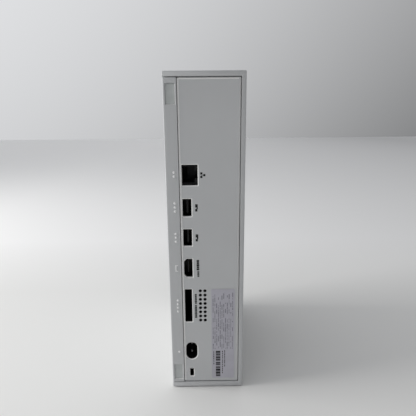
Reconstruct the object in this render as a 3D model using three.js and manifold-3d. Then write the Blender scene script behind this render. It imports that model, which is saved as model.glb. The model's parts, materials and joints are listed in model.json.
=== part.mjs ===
// A slim home game console without a disc drive, standing on its short end, as an assembly.
// Units are millimetres. +Z is up, the power button faces -Y and the sockets face +Y.
// The -X side carries the round fan grille and the +X side carries the feet for lying flat.

import Module from 'manifold-3d';
import * as THREE from 'three';
import { mergeVertices } from 'three/addons/utils/BufferGeometryUtils.js';

const wasm = await Module();
wasm.setup();

// ---- Driving dimensions ------------------------------------------------------------------

// Overall size. The height includes the base pads and the width excludes the side feet.
const HOUSING_WIDTH = 63.5;
const HOUSING_DEPTH = 151;
const TOTAL_HEIGHT = 275;
const FOOT_PROUD = 1.5;
const PAD_PROUD = 0.8;

// Clearances.
const TOUCH_GAP = 0.3;
const STICKER_GAP = 0.1;
const SEAM = 0.7;
const AIR_GAP = 1.2;

// Moulded casing.
const WALL = 2.4;
const RIM_TOP = 4;
const RIM_BOTTOM = 4.5;
const RIM_SIDE = 3.5;
const RIM_FRONT = 4;
const RIM_DEPTH = 3.2;
const CORNER_RADIUS = 0.9;
const EDGE_ROUNDING = 0.5;
const STRIP_WIDTH = 10.6;
const STRIP_THICKNESS = 4;
const PANEL_THICKNESS = 2.3;
const PANEL_RECESS = 0.4;
const PANEL_LIP = 1.4;
const PANEL_EDGE = 3;

// Rear sockets. The land lies between the panel's edge and the mouths, an edge is measured from
// the +X face, and a height from the surface stood on.
// A tongue starts at its tip behind the mouth and stays a margin short of the mouth's two ends.
const SOCKET_LAND = 1.6;
const SOCKET_WALL = 0.6;
const SOCKET_BACK = 2;
const ETHERNET = { reach: 12.8, tall: 16.6, z: 196.6, depth: 20 };
const JACK_CONTACT = { count: 8, pitch: 1.27, width: 0.5, reach: 2.6, length: 9 };
const USB = { reach: 7.3, tall: 14.6, depth: 16, tongue: 1.8, tip: 1.5, margin: 1.8 };
const USB_UPPER_Z = 170;
const USB_LOWER_Z = 144.4;
const HDMI = {
  reach: 7.2, tall: 16.6, z: 117.3, depth: 11, chamfer: 2.3, tongue: 1.1, tip: 1.2, margin: 2.6,
};
const EXPANSION = { reach: 6.3, tall: 31, z: 82.2, depth: 36, tongue: 1.3, tip: 31, margin: 3 };
const MAINS = { reach: 10.1, tall: 16.8, z: 37.6, depth: 14 };
const MAINS_PIN_SPACING = 8.6;
const MAINS_PIN_RADIUS = 1.2;
const MAINS_PIN_TIP = 3;
const MAINS_PIN_TAIL = 2;
const LOCK = { edge: 16, reach: 3.5, tall: 7.4, z: 15.3 };
const LOCK_PLATE_MARGIN = 2;
const LOCK_PLATE_THICKNESS = 1.2;
const VENT = { edge: 26.4, columns: 2, rows: 8, pitch: 4, radius: 1.4, z: 68.3 };

// Stickers and the case screws that the end seals cover.
const SEAL_WIDTH = 6.9;
const SEAL_HEIGHT = 14.8;
const SEAL_EDGE = 2.3;
const SEAL_POCKET_DEPTH = 0.9;
const SEAL_POCKET_MARGIN = 0.4;
const SEAL_UPPER_DROP = 16.5;
const SEAL_LOWER_Z = 16.5;
const STICKER_THICKNESS = 0.2;
const LABEL_WIDTH = 20.1;
const LABEL_HEIGHT = 88.5;
const LABEL_Z = 53.75;
const LABEL_MARGIN = 3.3;
const SCREW_HEAD_RADIUS = 2.8;
const SCREW_HEAD_HEIGHT = 1.3;
const SCREW_SHANK_RADIUS = 1.5;
const SCREW_LENGTH = 12;

// Feet and pads.
const FOOT_RADIUS = 7;
const FOOT_SUNK = 0.9;
const FOOT_INSET_Y = 22.5;
const FOOT_INSET_Z = 30;
const PAD_RADIUS = 5;
const PAD_SUNK = 0.8;
const PAD_INSET_X = 12;
const PAD_INSET_Y = 15;

// Front controls.
const POWER_BUTTON_RADIUS = 8.5;
const POWER_BUTTON_DROP = 22;
const POWER_TRAVEL = 0.9;
const PAIR_BUTTON_RADIUS = 3;
const PAIR_TRAVEL = 0.7;
const BUTTON_CLEARANCE = 0.35;
const BUTTON_RECESS = 0.4;
const BUTTON_FLANGE = 1.6;
const BUTTON_FLANGE_THICKNESS = 1.2;
const BUTTON_STEM_LENGTH = 1.5;
const SWITCH_DEPTH = 3;
const SWITCH_SIDE = 6;
const PLUNGER_RADIUS = 1.3;
const PLUNGER_CLEARANCE = 0.15;
const WELL_DEPTH = 2.4;
const FRONT_BOARD_SIZE = [24, 28];
const FRONT_USB_Z = 38;
const PAIR_BUTTON_Z = 60;

// Cooling.
const FAN_RADIUS = 60;
const FAN_THICKNESS = 19;
const FAN_RING = 3;
const FAN_TIP_CLEARANCE = 1.2;
const FAN_HUB_RADIUS = 17;
const FAN_CUP_WALL = 1.6;
const FAN_BLADES = 9;
const FAN_STRUTS = 4;
const FAN_BACK_PLATE = 2;
const FAN_STRUT_WIDTH = 5;
const FAN_EAR_RADIUS = 5;
const FAN_EAR_THICKNESS = 4;
const FAN_RUNNING_GAP = 1;
const BLADE_CHORD_ANGLE = 0.52;
const BLADE_SWEEP_ANGLE = 0.3;
const BLADE_THICKNESS = 1.4;
const BLADE_CAMBER = 1.2;
const BLADE_STEPS = 3;
const MAGNET_THICKNESS = 0.9;
const SHAFT_RADIUS = 1.6;
const SHAFT_SHORT = 0.6;
const BEARING_RADIUS = 4;
const BEARING_CLEARANCE = 0.08;
const STATOR_RADIUS = 13.5;
const STATOR_SLOTS = 6;
const STATOR_SLOT_DEPTH = 6;
const STATOR_SLOT_WIDTH = 2;
const GRILLE_OVERHANG = 2.5;
const GRILLE_MARGIN = 12.5;
const GRILLE_THICKNESS = 1.8;
const GRILLE_RECESS = 0.4;
const GRILLE_FLANGE = 2.5;
const GRILLE_FLANGE_THICKNESS = 1.2;
const GRILLE_HOLE_RADIUS = 3;
const GRILLE_RING_PITCH = 11;
const GRILLE_RINGS = 5;
const TOP_HOLE_RADIUS = 2;
const TOP_HOLE_PITCH = 8.6;
const TOP_HOLE_ROWS = 4;
const TOP_HOLE_COLUMNS = 12;
const SINK_LENGTH = 96;
const SINK_WIDTH = 92;
const SINK_BASE = 3;
const FIN_THICKNESS = 1;
const FIN_PITCH = 4.6;
const CLAMP_SPREAD = 64;
const CLAMP_WIDTH = 10;
const CLAMP_POST_RADIUS = 1.6;
const CLAMP_POST_SEAT = 1.8;

// Electronics.
const BOARD_THICKNESS = 1.6;
const BOARD_BOTTOM = 56;
const BOARD_FRONT_GAP = 5;
const BOARD_REAR_GAP = 3;
const BOARD_TOP_GAP = 10;
const BOARD_LEG = 36;
const BOARD_LEG_BOTTOM = 22;
const CHIP_SIDE = 40;
const CHIP_HEIGHT = 2.2;
const MEMORY_SIZE = [1.1, 12, 14];
const MEMORY_GAP = 5;
const DRIVE_SIZE = [2.4, 22, 30];
const DRIVE_LIFT = 2.2;
const DRIVE_INSET = 8;
const RADIO_SIZE = [2, 16, 20];
const LINK_SIZE = [14, 24];
const CHASSIS_THICKNESS = 0.8;
const CHASSIS_LIP = 5;
const STANDOFF_HEIGHT = 1.5;
const STANDOFF_RADIUS = 2.6;
const BOARD_HOLE_INSET = 6;
const SUPPLY_WALL = 1.5;
const SUPPLY_FRONT_GAP = 7;
const SUPPLY_REAR_GAP = 9;
const SUPPLY_FLOOR_GAP = 3;
const SUPPLY_BOARD_THICKNESS = 1.6;
const SUPPLY_PART_MARGIN = 8;
const TRANSFORMER_SIZE = [20, 34, 30];
const CAPACITOR_RADIUS = 8;
const CAPACITOR_LENGTH = 18;

// ---- Derived limits of the casing --------------------------------------------------------

const X_FEET = (HOUSING_WIDTH - FOOT_PROUD) / 2;
const X_FAN = X_FEET - HOUSING_WIDTH;
const Y_REAR = HOUSING_DEPTH / 2;
const Y_FRONT = -Y_REAR;
const Z_BASE = PAD_PROUD;
const Z_TOP = TOTAL_HEIGHT;
const X_SOCKET = X_FEET - STRIP_WIDTH - SEAM - SOCKET_LAND;
const Y_PANEL = Y_REAR - PANEL_RECESS;
const Y_SOCKET = Y_PANEL - PANEL_THICKNESS - TOUCH_GAP;
const Y_FRONT_INSIDE = Y_FRONT + WALL;
const X_BOARD = X_SOCKET + SOCKET_WALL + TOUCH_GAP;
const X_BOARD_BACK = X_BOARD + BOARD_THICKNESS;
const GRILLE_RADIUS = FAN_RADIUS + GRILLE_OVERHANG;
const Z_FAN = Z_TOP - GRILLE_MARGIN - GRILLE_RADIUS;
const X_FAN_START = X_FAN + WALL + TOUCH_GAP + GRILLE_FLANGE_THICKNESS + AIR_GAP;
const X_FAN_END = X_FAN_START + FAN_THICKNESS;
const Z_SUPPLY_TOP = Z_FAN - GRILLE_RADIUS - GRILLE_FLANGE - AIR_GAP;
const Z_BOARD_TOP = Z_TOP - WALL - BOARD_TOP_GAP;
const X_SEAL = X_FEET - SEAL_EDGE - SEAL_WIDTH / 2;
const BOSS_RADIUS = X_FEET - WALL - TOUCH_GAP - X_SEAL;
const SEAL_UPPER_Z = Z_TOP - SEAL_UPPER_DROP;
const SEAL_HEIGHTS = [SEAL_LOWER_Z, SEAL_UPPER_Z];
const PAST = 1;
const BEYOND = 5;

// ---- Materials ---------------------------------------------------------------------------

function finish(color, roughness, metalness = 0) {
  return new THREE.MeshStandardMaterial({ color, roughness, metalness });
}

const whitePlastic = finish(0xd8dadb, 0.55);
const panelPlastic = finish(0xd3d6d8, 0.58);
const blackPlastic = finish(0x16171a, 0.5);
const socketPlastic = finish(0x0d0e10, 0.45);
const greyRubber = finish(0xb9bcbe, 0.9);
const sealPaper = finish(0xa9adab, 0.6);
const labelPaper = finish(0xb4b4bd, 0.6);
const circuitBoard = finish(0x1d3a2a, 0.6);
const chipPackage = finish(0x1c1d20, 0.4);
const steel = finish(0x9a9da1, 0.35, 0.9);
const springSteel = finish(0x7d8084, 0.3, 1);
const aluminium = finish(0xb8bbbf, 0.35, 0.9);
const copper = finish(0xb06a3a, 0.35, 0.9);
const supplyPlastic = finish(0x26282c, 0.6);

// ---- Shape helpers -----------------------------------------------------------------------

function box([x0, x1], [y0, y1], [z0, z1]) {
  const geometry = new THREE.BoxGeometry(x1 - x0, y1 - y0, z1 - z0);
  geometry.translate((x0 + x1) / 2, (y0 + y1) / 2, (z0 + z1) / 2);
  return geometry;
}

// A round bar along one axis between two stations, at the other two coordinates.
function bar(axis, radius, [start, end], [u, v] = [0, 0], sides = 16) {
  const geometry = new THREE.CylinderGeometry(radius, radius, end - start, sides);
  const middle = (start + end) / 2;
  if (axis === 'x') {
    geometry.rotateZ(Math.PI / 2);
    geometry.translate(middle, u, v);
  } else if (axis === 'y') {
    geometry.translate(u, middle, v);
  } else {
    geometry.rotateX(Math.PI / 2);
    geometry.translate(u, v, middle);
  }
  return geometry;
}

// A flat outline pushed along an axis. The outline is (y, z) for x, (x, z) for y and (x, y) for z.
function prism(axis, shape, [start, end], bevel = 0) {
  const settings = {
    depth: end - start - 2 * bevel,
    bevelEnabled: bevel > 0,
    bevelSize: bevel,
    bevelThickness: bevel,
    bevelOffset: -bevel,
    bevelSegments: 2,
    curveSegments: 4,
  };
  const geometry = new THREE.ExtrudeGeometry(shape, settings);
  if (axis === 'x') {
    geometry.applyMatrix4(new THREE.Matrix4().set(0, 0, 1, 0, 1, 0, 0, 0, 0, 1, 0, 0, 0, 0, 0, 1));
    geometry.translate(start + bevel, 0, 0);
  } else if (axis === 'y') {
    geometry.rotateX(Math.PI / 2);
    geometry.translate(0, end - bevel, 0);
  } else {
    geometry.translate(0, 0, start + bevel);
  }
  return geometry;
}

function outline(points) {
  return new THREE.Shape(points.map(([u, v]) => new THREE.Vector2(u, v)));
}

// A rectangle with round corners, given by its two lowest and two highest coordinates.
function roundedRectangle([u0, u1], [v0, v1], radius) {
  const shape = new THREE.Shape();
  shape.absarc(u1 - radius, v0 + radius, radius, -Math.PI / 2, 0);
  shape.absarc(u1 - radius, v1 - radius, radius, 0, Math.PI / 2);
  shape.absarc(u0 + radius, v1 - radius, radius, Math.PI / 2, Math.PI);
  shape.absarc(u0 + radius, v0 + radius, radius, Math.PI, 1.5 * Math.PI);
  shape.closePath();
  return shape;
}

function solid(geometry) {
  const bare = geometry.clone();
  bare.deleteAttribute('normal');
  bare.deleteAttribute('uv');
  const merged = mergeVertices(bare, 1e-4);
  const mesh = new wasm.Mesh({
    numProp: 3,
    vertProperties: Float32Array.from(merged.attributes.position.array),
    triVerts: Uint32Array.from(merged.index.array),
  });
  return new wasm.Manifold(mesh);
}

function geometryOf(manifold) {
  const mesh = manifold.getMesh();
  const geometry = new THREE.BufferGeometry();
  geometry.setAttribute('position', new THREE.BufferAttribute(mesh.vertProperties, 3));
  geometry.setIndex(new THREE.BufferAttribute(mesh.triVerts, 1));
  geometry.computeVertexNormals();
  return geometry;
}

function cut(base, ...tools) {
  return geometryOf(tools.reduce((rest, tool) => rest.subtract(solid(tool)), solid(base)));
}

function join(base, ...others) {
  return geometryOf(others.reduce((sum, other) => sum.add(solid(other)), solid(base)));
}

const span = (centre, size) => [centre - size / 2, centre + size / 2];
const times = (count, make) => Array.from({ length: count }, (_, index) => make(index));

const assembly = new THREE.Group();

function piece(name, geometry, material, [x, y, z] = [0, 0, 0], parent = assembly) {
  const mesh = new THREE.Mesh(geometry, material);
  mesh.name = name;
  mesh.position.set(x, y, z);
  parent.add(mesh);
  return mesh;
}

function group(x, y, z) {
  const nested = new THREE.Group();
  nested.position.set(x, y, z);
  assembly.add(nested);
  return nested;
}

// ---- Moulded casing ----------------------------------------------------------------------

const rimZ = [Z_BASE + RIM_BOTTOM, Z_TOP - RIM_TOP];
const buttonX = (X_FEET + X_FAN) / 2;
const powerButtonZ = Z_TOP - POWER_BUTTON_DROP;
const frontSocketX = [X_SOCKET - USB.reach, X_SOCKET];
const pairButtonX = X_SOCKET - USB.reach / 2;
const footPlaces = [Y_FRONT + FOOT_INSET_Y, Y_REAR - FOOT_INSET_Y].flatMap(
  (y) => [Z_BASE + FOOT_INSET_Z, Z_TOP - FOOT_INSET_Z].map((z) => [y, z]),
);
const padPlaces = [X_FAN + PAD_INSET_X, X_FEET - PAD_INSET_X].flatMap(
  (x) => [Y_FRONT + PAD_INSET_Y, Y_REAR - PAD_INSET_Y].map((y) => [x, y]),
);

// A post behind an end seal, tied to the nearest end wall, that takes one case screw.
function screwBoss(z) {
  const post = [Y_REAR - STRIP_THICKNESS - TOUCH_GAP - SCREW_LENGTH, Y_REAR - STRIP_THICKNESS - TOUCH_GAP];
  const wallZ = z > Z_TOP / 2 ? [z, Z_TOP - WALL / 2] : [Z_BASE + WALL / 2, z];
  const rib = box(span(X_SEAL, BOSS_RADIUS), post, wallZ);
  return join(bar('y', BOSS_RADIUS, post, [X_SEAL, z]), rib);
}

function topHoles() {
  const startY = -TOP_HOLE_PITCH * (TOP_HOLE_COLUMNS - 1) / 2;
  const startX = buttonX - TOP_HOLE_PITCH * (TOP_HOLE_ROWS - 1) / 2;
  return times(TOP_HOLE_ROWS * TOP_HOLE_COLUMNS, (index) => {
    const row = index % TOP_HOLE_ROWS;
    const column = Math.floor(index / TOP_HOLE_ROWS);
    const at = [startX + row * TOP_HOLE_PITCH, startY + column * TOP_HOLE_PITCH];
    return bar('z', TOP_HOLE_RADIUS, [Z_TOP - WALL - PAST, Z_TOP + PAST], at, 6);
  });
}

function outerShell() {
  const block = prism(
    'y',
    roundedRectangle([X_FAN, X_FEET], [Z_BASE, Z_TOP], CORNER_RADIUS),
    [Y_FRONT, Y_REAR],
    EDGE_ROUNDING,
  );
  const hollow = box(
    [X_FAN + WALL, X_FEET - RIM_DEPTH],
    [Y_FRONT + WALL, Y_REAR - RIM_DEPTH],
    [Z_BASE + WALL, Z_TOP - WALL],
  );
  const rearMouth = box([X_FAN + RIM_SIDE, X_FEET + BEYOND], [0, Y_REAR + BEYOND], rimZ);
  const sideMouth = box([0, X_FEET + BEYOND], [Y_FRONT + RIM_FRONT, Y_REAR + BEYOND], rimZ);
  const grilleSeat = bar('x', GRILLE_RADIUS + TOUCH_GAP, [X_FAN - PAST, X_FAN + WALL + PAST], [0, Z_FAN], 48);
  const open = cut(block, hollow, rearMouth, sideMouth, grilleSeat);
  const bossed = join(open, ...SEAL_HEIGHTS.map(screwBoss));
  const screwHoles = SEAL_HEIGHTS.map((z) => bar(
    'y',
    SCREW_SHANK_RADIUS + TOUCH_GAP,
    [Y_REAR - STRIP_THICKNESS - SCREW_LENGTH, Y_REAR],
    [X_SEAL, z],
    12,
  ));
  const frontWall = [Y_FRONT - PAST, Y_FRONT + WALL + PAST];
  const powerHole = bar(
    'y', POWER_BUTTON_RADIUS + BUTTON_CLEARANCE, frontWall, [buttonX, powerButtonZ], 40,
  );
  const pairHole = bar(
    'y', PAIR_BUTTON_RADIUS + BUTTON_CLEARANCE, frontWall, [pairButtonX, PAIR_BUTTON_Z], 24,
  );
  const usbHole = box(frontSocketX, frontWall, span(FRONT_USB_Z, USB.tall));
  const padSeats = padPlaces.map((at) => bar(
    'z', PAD_RADIUS + TOUCH_GAP, [Z_BASE - PAST, Z_BASE + PAD_SUNK], at, 16,
  ));
  return cut(bossed, ...screwHoles, powerHole, pairHole, usbHole, ...padSeats, ...topHoles());
}

// The cover over the side with the feet. Its edge turns inwards at the rear as a strip.
function sideCover() {
  const inner = X_FEET - STRIP_WIDTH;
  const profile = new THREE.Shape();
  profile.moveTo(X_FEET, Y_FRONT + RIM_FRONT + SEAM);
  profile.absarc(X_FEET - CORNER_RADIUS, Y_REAR - CORNER_RADIUS, CORNER_RADIUS, 0, Math.PI / 2);
  profile.lineTo(inner, Y_REAR);
  profile.lineTo(inner, Y_REAR - STRIP_THICKNESS);
  profile.lineTo(X_FEET - WALL, Y_REAR - STRIP_THICKNESS);
  profile.lineTo(X_FEET - WALL, Y_FRONT + RIM_FRONT + SEAM);
  profile.closePath();
  const body = prism('z', profile, [rimZ[0] + SEAM, rimZ[1] - SEAM]);
  const pocketWidth = SEAL_WIDTH + 2 * SEAL_POCKET_MARGIN;
  const pocketHeight = SEAL_HEIGHT + 2 * SEAL_POCKET_MARGIN;
  const pocketFloor = Y_REAR - SEAL_POCKET_DEPTH;
  const headDepth = pocketFloor - SCREW_HEAD_HEIGHT - 2 * TOUCH_GAP;
  const pockets = SEAL_HEIGHTS.map((z) => box(
    span(X_SEAL, pocketWidth), [pocketFloor, Y_REAR + PAST], span(z, pocketHeight),
  ));
  const counterbores = SEAL_HEIGHTS.map((z) => bar(
    'y', SCREW_HEAD_RADIUS + TOUCH_GAP, [headDepth, Y_REAR], [X_SEAL, z],
  ));
  const clearanceHoles = SEAL_HEIGHTS.map((z) => bar(
    'y', SCREW_SHANK_RADIUS + TOUCH_GAP, [Y_REAR - STRIP_THICKNESS - PAST, Y_REAR], [X_SEAL, z], 12,
  ));
  const footSeats = footPlaces.map((at) => bar(
    'x', FOOT_RADIUS + TOUCH_GAP, [X_FEET - FOOT_SUNK, X_FEET + PAST], at, 20,
  ));
  return cut(body, ...pockets, ...counterbores, ...clearanceHoles, ...footSeats);
}

// Outlines of the socket mouths, in x and z.
function slotOutline({ reach, tall }, x, z) {
  return outline([
    [x - reach, z - tall / 2],
    [x, z - tall / 2],
    [x, z + tall / 2],
    [x - reach, z + tall / 2],
  ]);
}

function hdmiOutline({ reach, tall, chamfer }, x, z) {
  return outline([
    [x - reach, z - tall / 2],
    [x - chamfer, z - tall / 2],
    [x, z - tall / 2 + chamfer],
    [x, z + tall / 2 - chamfer],
    [x - chamfer, z + tall / 2],
    [x - reach, z + tall / 2],
  ]);
}

function mainsOutline({ reach, tall }, x, z) {
  return roundedRectangle([x - reach, x], span(z, tall), reach / 2 - 0.01);
}

const rearMouths = [
  slotOutline(ETHERNET, X_SOCKET, ETHERNET.z),
  slotOutline(USB, X_SOCKET, USB_UPPER_Z),
  slotOutline(USB, X_SOCKET, USB_LOWER_Z),
  hdmiOutline(HDMI, X_SOCKET, HDMI.z),
  slotOutline(EXPANSION, X_SOCKET, EXPANSION.z),
  mainsOutline(MAINS, X_SOCKET, MAINS.z),
  slotOutline(LOCK, X_FEET - LOCK.edge, LOCK.z),
];

function rearVentHoles() {
  return times(VENT.columns * VENT.rows, (index) => {
    const column = index % VENT.columns;
    const row = Math.floor(index / VENT.columns);
    const at = [X_FEET - VENT.edge - column * VENT.pitch, VENT.z + row * VENT.pitch];
    return bar('y', VENT.radius, [Y_SOCKET - PAST, Y_REAR + PAST], at, 8);
  });
}

// The panel between the rims. A lip behind its edges slides in behind the shell's rim.
const panelX = [X_FAN + RIM_SIDE + SEAM, X_FEET - STRIP_WIDTH - SEAM];
const panelZ = [rimZ[0] + SEAM, rimZ[1] - SEAM];
const lipY = [Y_REAR - RIM_DEPTH - TOUCH_GAP - PANEL_LIP, Y_REAR - RIM_DEPTH - TOUCH_GAP];

function rearPanel() {
  const plate = box(panelX, [lipY[0], Y_PANEL], panelZ);
  const lip = box(
    [X_FAN + WALL + TOUCH_GAP, panelX[1]],
    lipY,
    [Z_BASE + WALL + TOUCH_GAP, Z_TOP - WALL - TOUCH_GAP],
  );
  const pocket = box(
    [panelX[0] + PANEL_EDGE, panelX[1] + BEYOND],
    [lipY[0] - PAST, Y_PANEL - PANEL_THICKNESS],
    [panelZ[0] + PANEL_EDGE, panelZ[1] - PANEL_EDGE],
  );
  const through = rearMouths.map((mouth) => prism('y', mouth, [Y_SOCKET - PAST, Y_REAR + PAST]));
  return cut(join(plate, lip), pocket, ...through, ...rearVentHoles());
}

piece('outer_shell', outerShell(), whitePlastic);
piece('side_cover', sideCover(), whitePlastic);
piece('rear_panel', rearPanel(), panelPlastic);

footPlaces.forEach(([y, z], index) => {
  const foot = bar('x', FOOT_RADIUS, [TOUCH_GAP - FOOT_SUNK, FOOT_PROUD], [0, 0], 20);
  piece(`side_foot_${index + 1}`, foot, greyRubber, [X_FEET, y, z]);
});

padPlaces.forEach(([x, y], index) => {
  const pad = bar('z', PAD_RADIUS, [-PAD_PROUD, PAD_SUNK - TOUCH_GAP], [0, 0], 16);
  piece(`base_pad_${index + 1}`, pad, greyRubber, [x, y, Z_BASE]);
});

// ---- Stickers and case screws ------------------------------------------------------------

const sealFloor = Y_REAR - SEAL_POCKET_DEPTH + STICKER_GAP;

function caseScrew() {
  const head = bar('y', SCREW_HEAD_RADIUS, [-SCREW_HEAD_HEIGHT, 0]);
  const shank = bar('y', SCREW_SHANK_RADIUS, [-SCREW_LENGTH, -SCREW_HEAD_HEIGHT / 2], [0, 0], 12);
  const star = bar('y', SCREW_HEAD_RADIUS / 2, [-SCREW_HEAD_HEIGHT / 2, PAST], [0, 0], 6);
  return cut(join(head, shank), star);
}

['lower', 'upper'].forEach((end, index) => {
  const z = SEAL_HEIGHTS[index];
  const seal = box(span(0, SEAL_WIDTH), [0, STICKER_THICKNESS], span(0, SEAL_HEIGHT));
  piece(`seal_${end}`, seal, sealPaper, [X_SEAL, sealFloor, z]);
  piece(`case_screw_${end}`, caseScrew(), steel, [X_SEAL, sealFloor - STICKER_GAP - TOUCH_GAP, z]);
});

piece(
  'rating_label',
  box(span(0, LABEL_WIDTH), [0, STICKER_THICKNESS], span(0, LABEL_HEIGHT)),
  labelPaper,
  [panelX[0] + LABEL_MARGIN + LABEL_WIDTH / 2, Y_PANEL + STICKER_GAP, LABEL_Z],
);

// ---- Sockets -----------------------------------------------------------------------------

// A socket's block behind the panel, with its mouth at y = 0 and the hollow running to -y.
function socketBlock(port, mouth) {
  const block = box(
    [-port.reach - SOCKET_WALL, SOCKET_WALL],
    [-port.depth - SOCKET_BACK, 0],
    span(0, port.tall + 2 * SOCKET_WALL),
  );
  return cut(block, prism('y', mouth, [-port.depth, PAST]));
}

// A socket's middle tongue, which carries its contacts.
function contactTongue(port) {
  return box(
    span(-port.reach / 2, port.tongue),
    [-port.depth - SOCKET_BACK / 2, -port.tip],
    span(0, port.tall - 2 * port.margin),
  );
}

function tongueSocket(port, mouth) {
  return join(socketBlock(port, mouth), contactTongue(port));
}

const usbSocket = () => tongueSocket(USB, slotOutline(USB, 0, 0));
const hdmiSocket = () => tongueSocket(HDMI, hdmiOutline(HDMI, 0, 0));
const expansionSocket = () => tongueSocket(EXPANSION, slotOutline(EXPANSION, 0, 0));

// The network jack's sprung contacts stand out from its board side near the back.
function ethernetSocket() {
  const contacts = times(JACK_CONTACT.count, (index) => box(
    [-JACK_CONTACT.reach, SOCKET_WALL / 2],
    [-ETHERNET.depth - SOCKET_BACK / 2, JACK_CONTACT.length - ETHERNET.depth],
    span((index - (JACK_CONTACT.count - 1) / 2) * JACK_CONTACT.pitch, JACK_CONTACT.width),
  ));
  return join(socketBlock(ETHERNET, slotOutline(ETHERNET, 0, 0)), ...contacts);
}

piece('ethernet_jack', ethernetSocket(), socketPlastic, [X_SOCKET, Y_SOCKET, ETHERNET.z]);
piece('usb_port_upper', usbSocket(), socketPlastic, [X_SOCKET, Y_SOCKET, USB_UPPER_Z]);
piece('usb_port_lower', usbSocket(), socketPlastic, [X_SOCKET, Y_SOCKET, USB_LOWER_Z]);
piece('hdmi_port', hdmiSocket(), socketPlastic, [X_SOCKET, Y_SOCKET, HDMI.z]);
piece('expansion_slot', expansionSocket(), socketPlastic, [X_SOCKET, Y_SOCKET, EXPANSION.z]);

const frontUsb = usbSocket().rotateZ(Math.PI).translate(-USB.reach, 0, 0);
piece('front_usb_port', frontUsb, socketPlastic, [X_SOCKET, Y_FRONT_INSIDE + TOUCH_GAP, FRONT_USB_Z]);

const lockX = X_FEET - LOCK.edge - LOCK.reach / 2;
const lockPlate = cut(
  box(
    span(0, LOCK.reach + 2 * LOCK_PLATE_MARGIN),
    [-LOCK_PLATE_THICKNESS, 0],
    span(0, LOCK.tall + LOCK_PLATE_MARGIN),
  ),
  box(span(0, LOCK.reach), [-LOCK_PLATE_THICKNESS - PAST, PAST], span(0, LOCK.tall)),
);
piece('lock_plate', lockPlate, steel, [lockX, Y_SOCKET, LOCK.z]);

// ---- Mains inlet and power supply --------------------------------------------------------

const inletBack = MAINS.depth + SOCKET_BACK;
const supplyX = [X_FAN + WALL + TOUCH_GAP, X_SOCKET - ETHERNET.reach - SOCKET_WALL - TOUCH_GAP];
const supplyY = [Y_FRONT + WALL + SUPPLY_FRONT_GAP, Y_REAR - SUPPLY_REAR_GAP];
const supplyZ = [Z_BASE + WALL + SUPPLY_FLOOR_GAP, Z_SUPPLY_TOP];

function mainsInlet() {
  const shell = socketBlock(MAINS, mainsOutline(MAINS, 0, 0));
  const holes = [-1, 1].map((side) => bar(
    'y',
    MAINS_PIN_RADIUS + TOUCH_GAP,
    [-inletBack - PAST, PAST - MAINS.depth],
    [-MAINS.reach / 2, side * MAINS_PIN_SPACING / 2],
    12,
  ));
  return cut(shell, ...holes);
}

piece('power_inlet', mainsInlet(), socketPlastic, [X_SOCKET, Y_SOCKET, MAINS.z]);

[-1, 1].forEach((side, index) => {
  const pin = bar('y', MAINS_PIN_RADIUS, [-inletBack - MAINS_PIN_TAIL, -MAINS_PIN_TIP], [0, 0], 12);
  const z = MAINS.z + side * MAINS_PIN_SPACING / 2;
  piece(`inlet_pin_${index + 1}`, pin, steel, [X_SOCKET - MAINS.reach / 2, Y_SOCKET, z]);
});

function supplyCase() {
  const block = box(supplyX, supplyY, supplyZ);
  const hollow = box(
    [supplyX[0] - PAST, supplyX[1] - SUPPLY_WALL],
    [supplyY[0] + SUPPLY_WALL, supplyY[1] - SUPPLY_WALL],
    [supplyZ[0] + SUPPLY_WALL, supplyZ[1] - SUPPLY_WALL],
  );
  return cut(block, hollow);
}

const lidX = [supplyX[0] + TOUCH_GAP, supplyX[0] + TOUCH_GAP + SUPPLY_WALL];
const insideY = [supplyY[0] + SUPPLY_WALL + TOUCH_GAP, supplyY[1] - SUPPLY_WALL - TOUCH_GAP];
const insideZ = [supplyZ[0] + SUPPLY_WALL + TOUCH_GAP, supplyZ[1] - SUPPLY_WALL - TOUCH_GAP];
const supplyBoardX = [
  supplyX[1] - SUPPLY_WALL - TOUCH_GAP - SUPPLY_BOARD_THICKNESS,
  supplyX[1] - SUPPLY_WALL - TOUCH_GAP,
];
const supplyPartX = supplyBoardX[0] - TOUCH_GAP;
const supplyMiddle = [(supplyY[0] + supplyY[1]) / 2, (supplyZ[0] + supplyZ[1]) / 2];

piece('supply_case', supplyCase(), supplyPlastic);
piece('supply_lid', box(lidX, insideY, insideZ), supplyPlastic);
piece('supply_board', box(supplyBoardX, insideY, insideZ), circuitBoard);
piece(
  'transformer',
  box([-TRANSFORMER_SIZE[0], 0], span(0, TRANSFORMER_SIZE[1]), span(0, TRANSFORMER_SIZE[2])),
  copper,
  [supplyPartX, supplyMiddle[0], supplyMiddle[1]],
);
[-1, 1].forEach((side, index) => {
  const can = bar('x', CAPACITOR_RADIUS, [-CAPACITOR_LENGTH, 0]);
  const offset = TRANSFORMER_SIZE[1] / 2 + SUPPLY_PART_MARGIN + CAPACITOR_RADIUS;
  const y = supplyMiddle[0] + side * offset;
  piece(`capacitor_${index + 1}`, can, chipPackage, [supplyPartX, y, supplyMiddle[1]]);
});

// ---- Mainboard and chassis ---------------------------------------------------------------

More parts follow.
